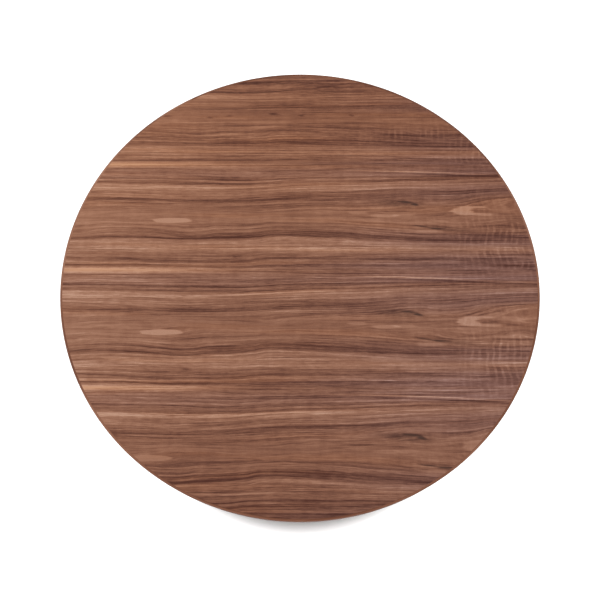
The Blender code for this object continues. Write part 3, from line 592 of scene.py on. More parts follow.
def backing_veneer():
    """Plain straight-grained walnut on the underside."""
    g = Graph("walnut_backing_veneer")
    x, y, _ = g.place()
    leaf = ((y + 0.6) / 0.19).floor()
    w = y + leaf * 3.7 + g.noise(x * 3, y * 9, leaf) * 0.012
    tone = g.noise(x * 0.8, w * 60, leaf, 3) * 0.9 + g.noise(x * 3, w * 340, leaf, 2) * 0.6 + 0.52
    tone += g.noise(x * 1.2, w * 16, leaf + 5) * 0.5 + g.noise(leaf, 0.5, 0.5) * 0.4
    pores = g.noise(x * 110, y * 2400, 2, 1).smooth(0.13, 0.22)
    colour = g.ramp(tone - pores * 0.12, WALNUT_TONES)
    return g.finish(colour, pores * 0.15 + 0.52, pores * -1, 0.0001, specular=0.35)


def brass():
    """Lacquered brass with fine brushing and a little tarnish."""
    g = Graph("brass")
    cloud = g.grain(90, 4)
    x, y, z = g.place()
    scratch = g.noise(x * 2200, y * 300, z * 2200, 2)
    worn = g.worn(0.64)
    colour = g.blend(cloud.smooth(-0.05, 0.35) * 0.7, linear((208, 172, 112)), linear((132, 98, 60)))
    colour = g.blend(worn * 0.5, colour, linear((232, 204, 150)))
    roughness = cloud * 0.22 + scratch * 0.18 - worn * 0.06 + 0.31
    return g.finish(colour, roughness, scratch * 0.6 + cloud * 0.4, 0.00004, metallic=1)


def plated_steel():
    """Zinc-plated steel with a faint spangle."""
    g = Graph("plated_steel")
    cloud = g.grain(160, 3)
    fine = g.grain(1800)
    colour = g.blend(cloud.smooth(-0.2, 0.3), linear((196, 198, 200)), linear((158, 160, 160)))
    return g.finish(colour, cloud * 0.2 + fine * 0.15 + 0.34, fine, 0.00003, metallic=1)


def speckled(name, dark, light, roughness, scale, depth, specular=0.5):
    """Paint, rubber or plastic with a fine grained skin."""
    g = Graph(name)
    grain = g.grain(scale, 3, 0.6)
    patch = g.grain(30)
    colour = g.blend((patch + grain * 0.5).smooth(-0.25, 0.3), linear(dark), linear(light))
    colour = g.blend(g.worn(0.66) * 0.25, colour, linear([min(255, c * 1.8 + 10) for c in light]))
    return g.finish(colour, patch * 0.15 + grain * 0.12 + roughness, grain, depth, specular=specular)


def board(name, dark, light, along):
    """Hidden wood: fibreboard or beech."""
    g = Graph(name)
    x, y, z = g.place()
    grain = g.noise(x * along, y * 400, z * 400, 3)
    colour = g.blend(grain.smooth(-0.25, 0.25), linear(dark), linear(light))
    return g.finish(colour, grain * 0.2 + 0.75, grain, 0.0001)


def make_finishes():
    """Each finish by name: its material, and the record's slot for it."""
    made = {
        "face": (make_face_veneer(), "walnut_veneer"),
        "lipping": (lipping_walnut(), "walnut_lipping"),
        "backing": (backing_veneer(), "backing_veneer"),
        "brass": (brass(), "brass"),
        "zinc": (plated_steel(), "plated_steel"),
        "steel": (speckled("black_steel", (30, 30, 31), (42, 42, 43), 0.42, 900, 0.00006), "black_steel"),
        "rubber": (speckled("rubber", (24, 24, 24), (38, 38, 37), 0.72, 700, 0.00005, 0.3), "rubber"),
        "nylon": (speckled("nylon", (34, 34, 35), (48, 48, 49), 0.5, 1200, 0.00003), "nylon"),
        "core": (board("fibreboard", (150, 118, 84), (188, 156, 118), 400), "core_board"),
        "beech": (board("beech", (188, 148, 108), (214, 178, 138), 12), "beech"),
    }
    grain = {"bearer_left": ("X", 1), "bearer_right": ("X", 2), "rail": ("X", 3)}
    grain |= {"block": ("Y", 5), "column": ("Z", 6), "hub": ("Z", 7)}
    grain |= {"leg_" + name: ("X", 8 + i) for i, name in enumerate(LEG_ANGLES)}
    for name, (axis, seed) in grain.items():
        made[name] = (solid_walnut("walnut_" + name, axis, seed), "walnut")
    return made


FINISHES = make_finishes()


# ---- mesh makers
def arc(centre, radius, start, end, steps):
    angles = [radians(start + (end - start) * i / steps) for i in range(steps + 1)]
    return [(centre[0] + radius * cos(a), centre[1] + radius * sin(a)) for a in angles]


def bezier(a, b, c, d, steps):
    points = []
    for i in range(steps + 1):
        t = i / steps
        weights = ((1 - t) ** 3, 3 * t * (1 - t) ** 2, 3 * t * t * (1 - t), t**3)
        points.append(tuple(sum(w * p[k] for w, p in zip(weights, (a, b, c, d))) for k in (0, 1)))
    return points


def height_at(curve, distance):
    """The height of a curve of (distance, height) points, in order of distance."""
    for (d0, h0), (d1, h1) in zip(curve, curve[1:]):
        if d0 <= distance <= d1:
            return h0 + (h1 - h0) * (distance - d0) / max(d1 - d0, 1e-9)
    return curve[0][1] if distance < curve[0][0] else curve[-1][1]


def rounded_rectangle(half_width, half_height, radius, steps):
    points = []
    for sx, sy, start in ((1, 1, 0), (-1, 1, 90), (-1, -1, 180), (1, -1, 270)):
        centre = (sx * (half_width - radius), sy * (half_height - radius))
        points += arc(centre, radius, start, start + 90, steps)
    return points


def rounded_section(x, half_width, low, high, radius):
    """A rounded rectangle at distance x, across Y and up Z."""
    half_height = (high - low) / 2
    radius = min(radius, half_width * 0.98, half_height * 0.98)
    outline = rounded_rectangle(half_width, half_height, radius, 5)
    return [(x, y, low + half_height + z) for y, z in outline]


def ring_of(bm, radius, height, segments):
    """The points of one turn of a profile, or the one point that it has on the axis."""
    if radius <= 0:
        return [bm.verts.new((0, 0, height))]
    turn = [2 * pi * i / segments for i in range(segments)]
    return [bm.verts.new((radius * cos(a), radius * sin(a), height)) for a in turn]


def turned(profile, segments=64):
    """Turns a closed outline of (radius, height) points about Z."""

    def fill(bm):
        rings = [ring_of(bm, radius, height, segments) for radius, height in profile]
        for low, high in zip(rings, rings[1:] + rings[:1]):
            for i in range(segments):
                j = i + 1
                corners = (low[i % len(low)], low[j % len(low)], high[j % len(high)], high[i % len(high)])
                corners = list(dict.fromkeys(corners))
                if len(corners) > 2:
                    bm.faces.new(corners)

    return fill


def rod(radius, length, segments=48):
    return turned([(0, 0), (radius, 0), (radius, length), (0, length)], segments)


def loft(sections):
    """A skin over closed sections that all have the same number of points, with a flat face at each end."""

    def fill(bm):
        rings = [[bm.verts.new(p) for p in section] for section in sections]
        for low, high in zip(rings, rings[1:]):
            for i in range(len(low)):
                j = (i + 1) % len(low)
                bm.faces.new((low[i], low[j], high[j], high[i]))
        bm.faces.new(list(reversed(rings[0])))
        bm.faces.new(rings[-1])

    return fill


def prism(outline, half_width):
    """A closed (u, v) outline in the XZ plane, that far each way in Y."""
    return loft([[(u, y, v) for u, v in outline] for y in (-half_width, half_width)])


def box(low, high):
    """A box from its lowest corner to its highest."""
    (x0, y0, z0), (x1, y1, z1) = low, high
    return loft([[(x0, y0, z), (x1, y0, z), (x1, y1, z), (x0, y1, z)] for z in (z0, z1)])


def at(x, y, z, turn=UPRIGHT):
    return Matrix.Translation((x, y, z)) @ turn


def out_along(angle, distance, z):
    """A place that far from the table's axis in the direction angle, in degrees."""
    return turn_about("Z", angle) @ at(distance, 0, z)


# ---- pieces
def edit(mesh, change):
    bm = bmesh.new()
    bm.from_mesh(mesh)
    change(bm)
    bm.to_mesh(mesh)
    bm.free()


def weld(bm):
    """Joins the doubled points and drops the sliver faces that a cut can leave."""
    bmesh.ops.remove_doubles(bm, verts=bm.verts, dist=WELD)
    bmesh.ops.dissolve_degenerate(bm, edges=bm.edges, dist=WELD)


def face_outward(bm):
    bmesh.ops.recalc_face_normals(bm, faces=bm.faces)


def add_object(name, data):
    made = bpy.data.objects.new(name, data)
    bpy.context.scene.collection.objects.link(made)
    return made


def dress(obj, finish):
    """Gives an object its material."""
    material, slot = FINISHES[finish]
    obj.data.materials.clear()
    obj.data.materials.append(material)


class Piece:
    """A new object with its cuts and bevels. settle() gives it its final mesh, material, body and nodes."""

    def __init__(self, name, fill, place=UPRIGHT):
        mesh = bpy.data.meshes.new(name)
        edit(mesh, fill)
        edit(mesh, face_outward)
        self.obj = add_object(name, mesh)
        self.obj.matrix_world = place
        self.cutters = []

    def bevel(self, width, segments):
        edge = self.obj.modifiers.new("eased", "BEVEL")
        edge.width = width
        edge.segments = segments
        edge.limit_method = "ANGLE"
        edge.angle_limit = radians(40)
        return self

    def boolean(self, fill, place, kind="DIFFERENCE"):
        step = self.obj.modifiers.new("cut", "BOOLEAN")
        step.operation = kind
        step.solver = "EXACT"
        step.object = Piece(self.obj.name + "_cutter", fill, place).obj
        self.cutters.append(step.object)

    def drill(self, radius, length, place, segments=48):
        self.boolean(rod(radius, length, segments), place)

    def cross_recess(self, tip, reach, width, depth):
        """A cross-shaped driver recess, cut in at the tip of a screw's head."""
        for turn in (UPRIGHT, QUARTER_TURN):
            self.boolean(box((-reach, -width, -0.002), (reach, width, depth)), tip @ turn)
        return self

    def settle(self, body, finish, *nodes, smooth=35):
        obj = self.obj
        if obj.modifiers:
            bpy.context.view_layer.update()
            seen = obj.evaluated_get(bpy.context.evaluated_depsgraph_get())
            mesh = bpy.data.meshes.new_from_object(seen)
            edit(mesh, weld)
            obj.modifiers.clear()
            old, obj.data = obj.data, mesh
            bpy.data.meshes.remove(old)
            mesh.name = obj.name
        for cutter in self.cutters:
            bpy.data.objects.remove(cutter)
        obj.data.shade_smooth()
        obj.data.set_sharp_from_angle(angle=radians(smooth))
        obj.modifiers.new("face_normals", "WEIGHTED_NORMAL").keep_sharp = True
        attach(obj, body)
        dress(obj, finish)
        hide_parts(*nodes)


# ---- the top
def make_top():
    inner, arris, eased = TOP_RADIUS - LIPPING, LIPPING_ARRIS, EASED_VENEER
    low, high, edge = TABLE_HEIGHT - VENEER, TABLE_HEIGHT, FACE_RADIUS - eased
    face = [(0, low), (FACE_RADIUS, low), (FACE_RADIUS, high - eased), (edge, high), (0, high)]
    Piece("face_leaves", turned(face, 256)).settle("top", "face", "face_veneer")
    low, high = UNDERSIDE, UNDERSIDE + VENEER
    under = [(0, low), (edge, low), (FACE_RADIUS, low + eased), (FACE_RADIUS, high), (0, high)]
    Piece("backing_leaves", turned(under, 256)).settle("top", "backing", "backing_veneer")
    ring = [(inner, UNDERSIDE + eased), (inner + eased, UNDERSIDE)]
    ring += arc((TOP_RADIUS - arris, UNDERSIDE + arris), arris, -90, 0, 6)
    ring += arc((TOP_RADIUS - arris, TABLE_HEIGHT - arris), arris, 0, 90, 6)
    ring += [(inner + eased, TABLE_HEIGHT), (inner, TABLE_HEIGHT - eased)]
    Piece("rim_lipping", turned(ring, 256)).settle("top", "lipping", "edge_lipping")


def bearer_depth_at(y):
    beyond = max(0, abs(y) - BEARER_FLAT) / (BEARER_HALF_LENGTH - BEARER_FLAT)
    return BEARER_DEPTH - (BEARER_DEPTH - BEARER_END_DEPTH) * sin(beyond * pi / 2) ** 1.6


def bearer_sections():
    """A bearer's shape along its length, with its ends eased."""
    steps = 100
    stations = [BEARER_HALF_LENGTH * (2 * i / steps - 1) for i in range(1, steps)]
    ends = [BEARER_HALF_LENGTH - EASED_WOOD * k for k in (0, 0.3, 1)]
    stations = [-e for e in ends] + stations + ends[::-1]
    shrink = {0: EASED_WOOD, 1: EASED_WOOD * 0.3}
    sections = []
    for i, y in enumerate(stations):
        inset = shrink.get(min(i, len(stations) - 1 - i), 0)
        bottom = WOOD_TOP - bearer_depth_at(y) + inset
        sections.append(rounded_section(y, BEARER_WIDTH / 2 - inset, bottom, WOOD_TOP, 0.0022))
    return sections


def screw_up(piece, name, x, y, depth):
    """Counterbores a batten of that depth from below and drives a cross-headed screw up into the top."""
    bottom = WOOD_TOP - depth
    sink = depth + SCREW_BITE - SCREW_LENGTH
    bore = sink + SCREW_HEAD_HEIGHT + OVERSHOOT
    piece.drill(COUNTERBORE_RADIUS, bore, at(x, y, bottom - OVERSHOOT), 32)
    head, shank, crown = SCREW_HEAD_RADIUS, SCREW_RADIUS, SCREW_HEAD_HEIGHT
    profile = [(0, 0), (head * 0.55, 0), (head * 0.92, 0), (head, crown * 0.22), (shank, crown)]
    profile += [(shank, SCREW_LENGTH - 2.4 * shank), (0, SCREW_LENGTH)]
    seat = at(x, y, bottom + sink)
    screw = Piece("drive_" + name, turned(profile, 32), seat)
    screw.cross_recess(seat, 0.0024, 0.0005, 0.0016).settle("top", "zinc", name)


def make_bearers():
    """Battens with hollowed ends, their lower edges rounded."""
    shape = loft(bearer_sections())
    for side, sign in SIDES.items():
        x = sign * (BEARER_INNER_X + BEARER_WIDTH / 2)
        piece = Piece(f"walnut_bearer_{side}", shape, at(x, 0, 0, QUARTER_TURN))
        seat = at(x - BEARER_WIDTH / 2 - OVERSHOOT, PIVOT_Y, PIVOT_Z, ALONG_X)
        piece.drill(PIVOT_BUSH_RADIUS + GAP, BEARER_WIDTH + 2 * OVERSHOOT, seat)
        for where, y in BEARER_SCREW_Y.items():
            screw_up(piece, f"bearer_screw_{side}_{where}", x, y, bearer_depth_at(y))
        piece.settle("top", "bearer_" + side, "bearer_" + side)


def make_catch_rail():
    half = BEARER_INNER_X - GAP
    low = (-half, RAIL_FRONT_Y, WOOD_TOP - RAIL_DEPTH)
    rail = Piece("walnut_catch_rail", box(low, (half, RAIL_FRONT_Y + RAIL_THICKNESS, WOOD_TOP)))
    rail.bevel(EASED_WOOD, 4)
    bore = at(0, RAIL_FRONT_Y - OVERSHOOT, BOLT_Z, ALONG_Y)
    rail.drill(SLEEVE_RADIUS + GAP, RAIL_THICKNESS + 2 * OVERSHOOT, bore)
    for side, sign in SIDES.items():
        middle = RAIL_FRONT_Y + RAIL_THICKNESS / 2
        screw_up(rail, f"rail_screw_{side}", sign * RAIL_SCREW_X, middle, RAIL_DEPTH)
    rail.settle("top", "rail", "catch_rail")


def make_bolt():
    """The catch's sleeve, and the bar and knob that slide in it."""
    inner, face, eased = BOLT_RADIUS + GAP, RAIL_THICKNESS + GAP, 0.0006
    top = face + FLANGE_THICKNESS
    sleeve = [(inner, 0), (SLEEVE_RADIUS - 0.0003, 0), (SLEEVE_RADIUS, 0.0003), (SLEEVE_RADIUS, face)]
    sleeve += [(FLANGE_RADIUS, face), *arc((FLANGE_RADIUS - eased, top - eased), eased, 0, 90, 4)]
    sleeve += [(inner + 0.0003, top), (inner, top - 0.0003)]
    place = at(0, RAIL_FRONT_Y, BOLT_Z, ALONG_Y)
    Piece("brass_sleeve", turned(sleeve), place).settle("top", "brass", "bolt_sleeve")

    tip, nose = BLOCK_HALF + 0.004, 0.0012
    shoulder = RAIL_FRONT_Y + top + BOLT_TRAVEL + GAP
    bar = [(0, tip), *arc((BOLT_RADIUS - nose, tip + nose), nose, -90, 0, 4)]
    bar += [(BOLT_RADIUS, shoulder), (0, shoulder)]
    place = at(0, 0, BOLT_Z, ALONG_Y)
    Piece("brass_bolt", turned(bar), place).settle("hand_bolt", "brass", "bolt_rod")
    collar = KNOB_COLLAR_RADIUS
    knob = [(0, 0), (collar - 0.0004, 0), (collar, 0.0004), (collar, 0.0012), (collar - 0.0008, 0.002)]
    knob += [(collar - 0.001, 0.0028), *arc((0, KNOB_CENTRE), KNOB_RADIUS, -52, 88, 20)]
    knob += [(0, KNOB_CENTRE + KNOB_RADIUS)]
    place = at(0, shoulder + GAP, BOLT_Z, ALONG_Y)
    Piece("brass_knob", turned(knob), place).settle("hand_bolt", "brass", "bolt_knob")


# ---- the pivot block and what is on it
def make_block():
    corner = arc((PIVOT_Y, PIVOT_Z), BLOCK_EDGE_RADIUS, 90, 180, 18)
    outline = [(-BLOCK_HALF, BLOCK_BOTTOM), (BLOCK_HALF, BLOCK_BOTTOM), (BLOCK_HALF, BLOCK_TOP), *corner]
    block = Piece("walnut_pivot_block", prism(outline, BLOCK_HALF), QUARTER_TURN)
    block.bevel(EASED_WOOD, 4)
    bore = at(-BLOCK_HALF - OVERSHOOT, PIVOT_Y, PIVOT_Z, ALONG_X)
    block.drill(PIVOT_ROD_RADIUS + GAP, 2 * (BLOCK_HALF + OVERSHOOT), bore)
    block.drill(WASHER_RADIUS + 0.001, BLOCK_TOP - TIE_NUT_SEAT + OVERSHOOT, at(0, 0, TIE_NUT_SEAT))
    bore = at(0, BLOCK_HALF - BOLT_HOLE_DEPTH, BOLT_Z, ALONG_Y)
    block.drill(BOLT_RADIUS + 2 * GAP, BOLT_HOLE_DEPTH + OVERSHOOT, bore)
    block.settle("base", "block", "pivot_block")


def make_pivot_caps():
    cap = [(0, 0), (CAP_RADIUS - 0.0004, 0), (CAP_RADIUS, 0.0004), (CAP_RADIUS, CAP_RIM - 0.0005)]
    cap += [(CAP_RADIUS - 0.0003, CAP_RIM), *arc((0, CAP_RIM), CAP_DOME_RADIUS, 6, 88, 16)]
    cap += [(0, CAP_RIM + CAP_DOME_RADIUS)]
    for side, sign in SIDES.items():
        turn = turn_about("Y", sign * 90)
        place = at(sign * (BEARER_INNER_X + BEARER_WIDTH + 2 * GAP), PIVOT_Y, PIVOT_Z, turn)
        Piece(f"brass_cap_{side}", turned(cap), place).settle("base", "brass", f"pivot_cap_{side}")


def make_bumpers():
    edge = 0.001
    profile = [(0, 0), (BUMPER_RADIUS - 0.0002, 0), (BUMPER_RADIUS, 0.0002)]
    profile += arc((BUMPER_RADIUS - edge, BUMPER_HEIGHT - edge), edge, 0, 90, 5)
    profile += [(0, BUMPER_HEIGHT)]
    for side, sign in SIDES.items():
        x = sign * BUMPER_X
        places = {
            "level": at(x, BUMPER_X, BLOCK_TOP + GAP),
            "upright": at(x, -BLOCK_HALF - GAP, BLOCK_BOTTOM + UPRIGHT_BUMPER_RISE, FORWARD),
        }
        for kind, place in places.items():
            piece = Piece(f"rubber_button_{kind}_{side}", turned(profile, 40), place)
            piece.settle("base", "rubber", f"bumper_{kind}_{side}")


def make_keeper():
    face = BLOCK_HALF + GAP
    half = KEEPER_THICKNESS / 2
    outline = rounded_rectangle(KEEPER_WIDTH / 2, KEEPER_HEIGHT / 2, 0.0022, 6)
    plate = Piece("brass_keeper", prism(outline, half), at(0, face + half, BOLT_Z)).bevel(0.0003, 2)
    plate.drill(BOLT_RADIUS + 2 * GAP, 2 * OVERSHOOT, at(0, face - OVERSHOOT, BOLT_Z, ALONG_Y))
    plate.settle("base", "brass", "keeper_plate")
    shank, head, crown = KEEPER_SCREW_RADIUS, KEEPER_SCREW_HEAD_RADIUS, 0.0013
    seat = KEEPER_SCREW_DEPTH + KEEPER_THICKNESS
    profile = [(0, 0), (shank, 0.002), (shank, seat), (head, seat), (head, seat + 0.0002)]
    profile += [(head - 0.0004, seat + 0.0007), (head - 0.001, seat + 0.0011), (0, seat + crown)]
    for side, sign in SIDES.items():
        x = sign * KEEPER_SCREW_X
        place = at(x, face + GAP - KEEPER_SCREW_DEPTH, BOLT_Z, ALONG_Y)
        tip = at(x, face + GAP + KEEPER_THICKNESS + crown, BOLT_Z, FORWARD)
        screw = Piece(f"brass_screw_{side}", turned(profile, 40), place)
        screw.cross_recess(tip, 0.0016, 0.0003, 0.0007).settle("base", "brass", f"keeper_screw_{side}")


# ---- the pedestal
def column_radius(z, low, high):
    end, end_radius = (low, COLUMN_BOTTOM_RADIUS) if z < COLUMN_WAIST_Z else (high, COLUMN_TOP_RADIUS)
    share = (z - COLUMN_WAIST_Z) / (end - COLUMN_WAIST_Z)
    return COLUMN_WAIST_RADIUS + (end_radius - COLUMN_WAIST_RADIUS) * share**2.4


def make_column():
    """The turned column, with a fine scribed groove near each end."""
    low, high, steps, ease = HUB_TOP + GAP, BLOCK_BOTTOM - GAP, 72, 0.003
    start, end = low + ease, high - ease
    profile = [(0, low - TENON_LENGTH), (TENON_RADIUS, low - TENON_LENGTH), (TENON_RADIUS, low)]
    profile += arc((COLUMN_BOTTOM_RADIUS - ease, start), ease, -90, 0, 5)
    for i in range(1, steps):
        z = start + (end - start) * i / steps
        profile.append((column_radius(z, low, high), z))
        for groove in (low + GROOVE_FROM_END, high - GROOVE_FROM_END):
            if z <= groove < z + (end - start) / steps:
                rim = column_radius(groove, low, high)
                profile += [(rim, groove - GROOVE), (rim - GROOVE, groove), (rim, groove + GROOVE)]
    tip = high + TENON_LENGTH - 0.001
    profile += arc((COLUMN_TOP_RADIUS - ease, end), ease, 0, 90, 5)
    profile += [(TENON_RADIUS, high), (TENON_RADIUS, tip), (0, tip)]
    Piece("walnut_column", turned(profile, 96)).settle("base", "column", "column", smooth=40)


def make_hub():
    shape = box((-HUB_HALF, -HUB_HALF, HUB_BOTTOM), (HUB_HALF, HUB_HALF, HUB_TOP))
    Piece("walnut_hub", shape, out_along(45, 0, 0)).bevel(0.004, 6).settle("base", "hub", "hub")


def leg_curves():
    """Upper and lower edge of a leg's side view, as (distance from the table's axis, height)."""
    root, reach, sole = HUB_HALF + GAP, LEG_REACH, FOOT_UNDERSIDE
    top = bezier((root, LEG_TOP), (0.19, LEG_TOP - 0.002), (0.25, 0.046), (reach - 0.01, TOE_HEIGHT), 60)
    top += [(reach - 0.006, TOE_HEIGHT - 0.0022), (reach - 0.003, TOE_HEIGHT - 0.006)]
    top += [(reach - 0.001, 0.03), (reach, 0.027)]
    flat_end, heel = (SPIDER_REACH + 0.01, HUB_BOTTOM), (FOOT_RADIUS - 0.03, sole)
    under = bezier(flat_end, (0.23, HUB_BOTTOM + 0.004), (0.3, 0.0155), heel, 50)
    under = [(root, HUB_BOTTOM), *under, (reach - 0.007, sole), (reach - 0.004, 0.0155)]
    return top, under + [(reach - 0.0015, 0.0185), (reach, 0.022)]


def leg_sections():
    """A leg's shape from its root to its rounded tip."""
    top, under = leg_curves()
    root, tip, edge = HUB_HALF + GAP, LEG_REACH, 0.0006
    stations = [root, root + edge] + [root + (tip - 0.012 - root) * i / 90 for i in range(1, 91)]
    stations += [tip - back for back in (0.01, 0.008, 0.006, 0.0045, 0.003, 0.002, 0.001, 0.0004, 0)]
    sections = []
    for d in stations:
        inset = edge if d == root else 0
        nose = max(0, 1 - (tip - d) / 0.01)
        taper = (TOE_HALF_WIDTH - LEG_HALF_WIDTH) * (d - HUB_HALF) / (LEG_REACH - HUB_HALF)
        half = LEG_HALF_WIDTH + taper - inset - 0.0035 * nose**2.2
        low, high = height_at(under, d) + inset, height_at(top, d) - inset
        sections.append(rounded_section(d, half, low, high, LEG_ROUNDING))
    return sections


def make_legs():
    shape = loft(leg_sections())
    for name, angle in LEG_ANGLES.items():
        leg = Piece(f"walnut_leg_{name}", shape, out_along(angle, 0, 0))
        stem_hole = out_along(angle, FOOT_RADIUS, FOOT_UNDERSIDE - OVERSHOOT)
        leg.drill(GLIDE_STEM_RADIUS + GAP, GLIDE_STEM + 0.001 + OVERSHOOT, stem_hole)
        leg.settle("base", "leg_" + name, "leg_" + name, smooth=50)


def make_spider():
    """The steel cross under the hub, and its four pan-headed screws."""
    a, r, clipped, fillet = SPIDER_ARM_HALF, SPIDER_REACH, 0.008, 0.004
    one_arm = arc((a + fillet, -a - fillet), fillet, 180, 90, 4)
    one_arm += arc((r - clipped, clipped - a), clipped, -90, 0, 5)
    one_arm += arc((r - clipped, a - clipped), clipped, 0, 90, 5)
    turns = [Matrix.Rotation(radians(90 * quarter), 2) for quarter in range(4)]
    outline = [turn @ Vector(p) for turn in turns for p in one_arm]
    shape = loft([[(x, y, z) for x, y in outline] for z in (SPIDER_BOTTOM, SPIDER_TOP)])
    plate = Piece("steel_spider", shape, out_along(45, 0, 0)).bevel(0.0004, 2)
    plate.settle("base", "steel", "spider_plate")
    head, crown, bite = SPIDER_SCREW_HEAD_RADIUS, SPIDER_SCREW_HEAD_HEIGHT, SPIDER_SCREW_BITE
    dome = ((0, 1), (0.45, 0.95), (0.78, 0.7), (0.95, 0.3))
    profile = [(head * out, -crown * down) for out, down in dome]
    profile += [(head, -0.0002), (head, 0), (SPIDER_SCREW_RADIUS, 0), (SPIDER_SCREW_RADIUS, bite)]
    profile += [(0, bite + 0.002)]
    for name, angle in LEG_ANGLES.items():
        seat = out_along(angle, SPIDER_SCREW_AT, SPIDER_BOTTOM - GAP)
        screw = Piece(f"pan_screw_{name}", turned(profile, 40), seat)
        screw.cross_recess(seat @ at(0, 0, -crown), 0.0019, 0.0004, 0.0011)
        screw.settle("base", "zinc", f"spider_screw_{name}")


def make_tie_rod():
    """The threaded rod that holds the block, column, hub and spider together."""
    low, length = TIE_ROD_BOTTOM, BLOCK_TOP - NUT_SINK + 0.001 - TIE_ROD_BOTTOM
    pitch, depth, threaded, edge = 0.0015, 0.0007, 0.016, 0.0006
    profile = [(0, 0), (TIE_ROD_RADIUS - 0.001, 0)]
    for i in range(int(threaded / pitch)):
        z = edge + i * pitch
        profile += [(TIE_ROD_RADIUS - depth, z), (TIE_ROD_RADIUS, z + pitch / 2)]
    profile += [(TIE_ROD_RADIUS, length - edge), (TIE_ROD_RADIUS - edge, length), (0, length)]
    piece = Piece("threaded_rod", turned(profile, 40), at(0, 0, low))
    piece.settle("base", "zinc", "tie_rod", smooth=25)


def make_tie_nuts():
    """A chamfered nut and a washer at each end of the rod."""
    bore, eased, thick = TIE_ROD_RADIUS + GAP, 0.0003, WASHER_HEIGHT - GAP
    washer = [(bore, 0), (WASHER_RADIUS - eased, 0), (WASHER_RADIUS, eased)]
    washer += [(WASHER_RADIUS, thick - eased), (WASHER_RADIUS - eased, thick), (bore, thick)]
    tall, chamfer = NUT_HEIGHT - GAP, 0.001
    face_edge, beyond = NUT_RADIUS * 0.855, NUT_RADIUS * 1.02
    lathe = [(bore, 0), (face_edge, 0), (beyond, chamfer), (beyond, tall - chamfer), (face_edge, tall)]
    lathe += [(bore, tall)]
    stacks = {"top": (TIE_NUT_SEAT + GAP, UPRIGHT), "bottom": (SPIDER_BOTTOM - GAP, UPSIDE_DOWN)}
    for end, (face, turn) in stacks.items():
        place = at(0, 0, face, turn)
        Piece(f"plain_washer_{end}", turned(washer), place).settle("base", "zinc", f"tie_washer_{end}")
        seat = place @ at(0, 0, WASHER_HEIGHT)
        nut = Piece(f"hex_nut_{end}", turned(lathe, 96), seat)
        hexagon = rod(NUT_RADIUS, tall + 2 * OVERSHOOT, 6)
        nut.boolean(hexagon, seat @ at(0, 0, -OVERSHOOT), "INTERSECT")
        nut.settle("base", "zinc", f"tie_nut_{end}", smooth=20)


def make_glides():
    """Levelling feet: a rounded pad, and a neck with flats for a spanner."""
    pad, neck, stem = GLIDE_PAD_HEIGHT, GLIDE_NECK_RADIUS, GLIDE_STEM_RADIUS
    top, tip = FOOT_UNDERSIDE - GAP, FOOT_UNDERSIDE - GAP + GLIDE_STEM
    profile = [(0, 0), *arc((GLIDE_RADIUS - 0.0015, 0.0015), 0.0015, -90, 0, 5)]
    profile += arc((GLIDE_RADIUS - 0.0025, pad), 0.0025, 0, 80, 6)
    profile += [(neck, pad + 0.0032), (neck, top - 0.0003), (neck - 0.0003, top), (stem, top)]
    profile += [(stem, tip - 0.0006), (stem - 0.0006, tip), (0, tip)]
    for name, angle in LEG_ANGLES.items():
        place = out_along(angle, FOOT_RADIUS, 0)
        piece = Piece(f"nylon_glide_{name}", turned(profile), place)
        for low in (-0.016, 0.007):
            flat = box((-0.02, low, pad + 0.0042), (0.02, low + 0.009, top - 0.0008))
            piece.boolean(flat, place)
        piece.settle(f"foot_{name}", "nylon", f"glide_{name}")


def dress_kept_nodes():
    """CAD nodes that keep their own mesh get their material."""
    kept = {"top_core": "core", "pivot_rod": "zinc"}
    kept |= {"pivot_bush_" + side: "brass" for side in SIDES}
    kept |= {"pivot_washer_" + side: "nylon" for side in SIDES}
    kept |= {"leg_dowel_" + name: "beech" for name in LEG_ANGLES}
    for name, finish in kept.items():
        dress(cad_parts[name], finish)


# ---- camera, light and floor
CAMERA_PLACE = (0, -0.6084, TABLE_HEIGHT + 1.4817)
CAMERA_DOWN = 69.89
LENS = 42.94
WORLD_LIGHT = 0.21
WORLD_SEEN = 1.05
SUN_LIGHT = 3.86
SUN_PLACE = (0, -0.045, 4)
SUN_ANGLE = 4.6
# Each soft box: its watts, place and width.
SOFT_BOXES = {
    "left_box": (24, (-2.4, -1.9, 1.4), 1.6),
    "right_box": (24, (2.3, -2.2, 1.4), 1.8),
    "rear_box": (16, (-0.8, 3, 1.6), 1.8),
}


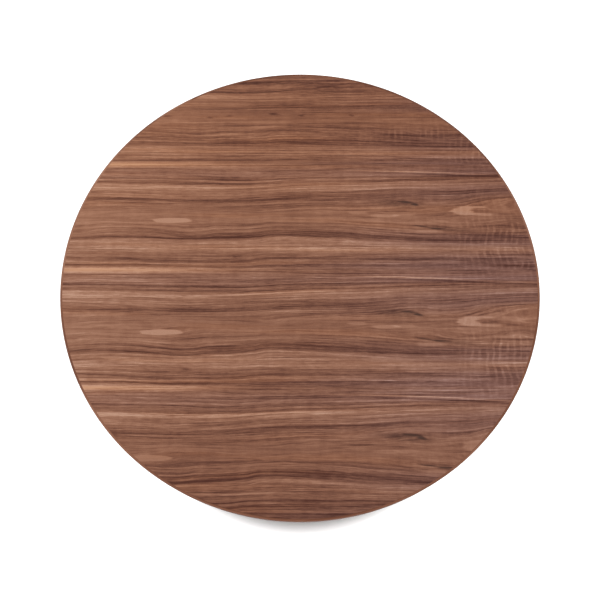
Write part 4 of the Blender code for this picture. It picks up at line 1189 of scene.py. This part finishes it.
def make_camera():
    camera = bpy.data.cameras.new("camera")
    camera.lens = LENS
    camera.clip_end = 60
    seer = add_object("camera", camera)
    seer.location = CAMERA_PLACE
    seer.rotation_euler = (radians(90 - CAMERA_DOWN), 0, 0)
    bpy.context.scene.camera = seer


def make_floor():
    floor = Piece("studio_floor", rod(9, 0.02, 96), at(0, 0, -0.02)).obj
    g = Graph("pale_floor")
    x, y, z = g.place()
    cloud = g.noise(x * 2, y * 2, z, 3)
    colour = g.blend(cloud.smooth(-0.3, 0.3), linear((244, 244, 244)), linear((247, 247, 247)))
    floor.data.materials.append(g.finish(colour, cloud * 0.1 + 0.7, specular=0.2))


def make_world():
    """A soft white world that the camera sees brighter than it lights."""
    g = Graph("studio", bpy.data.worlds)
    bpy.context.scene.world = g.owner
    feeds = [g.node("ShaderNodeLightPath").outputs["Is Camera Ray"]]
    for strength in (WORLD_LIGHT, WORLD_SEEN):
        white = g.node("ShaderNodeBackground", [("Color", (1, 1, 1, 1)), ("Strength", strength)])
        feeds.append(white.outputs[0])
    choose = g.node("ShaderNodeMixShader", enumerate(feeds))
    g.feed(g.tree.nodes["World Output"].inputs["Surface"], choose.outputs[0])


def add_light(name, kind, energy, place, aim, **settings):
    lamp = bpy.data.lights.new(name, kind)
    lamp.energy = energy
    for key, setting in settings.items():
        setattr(lamp, key, setting)
    made = add_object(name, lamp)
    made.location = place
    made.rotation_euler = (Vector(aim) - Vector(place)).to_track_quat("-Z", "Y").to_euler()
    return made


def make_lights():
    sun = add_light("overhead", "SUN", SUN_LIGHT, SUN_PLACE, (0, 0, 0), angle=radians(SUN_ANGLE))
    sun.visible_glossy = False
    for name, (energy, place, size) in SOFT_BOXES.items():
        add_light(name, "AREA", energy, place, (0, 0, 0.4), shape="DISK", size=size)


bpy.context.scene.view_settings.view_transform = "Standard"
bpy.context.scene.view_settings.look = "None"
dress_kept_nodes()
make_top()
make_bearers()
make_catch_rail()
make_bolt()
make_block()
make_pivot_caps()
make_bumpers()
make_keeper()
make_column()
make_hub()
make_legs()
make_spider()
make_tie_rod()
make_tie_nuts()
make_glides()
make_camera()
make_floor()
make_world()
make_lights()
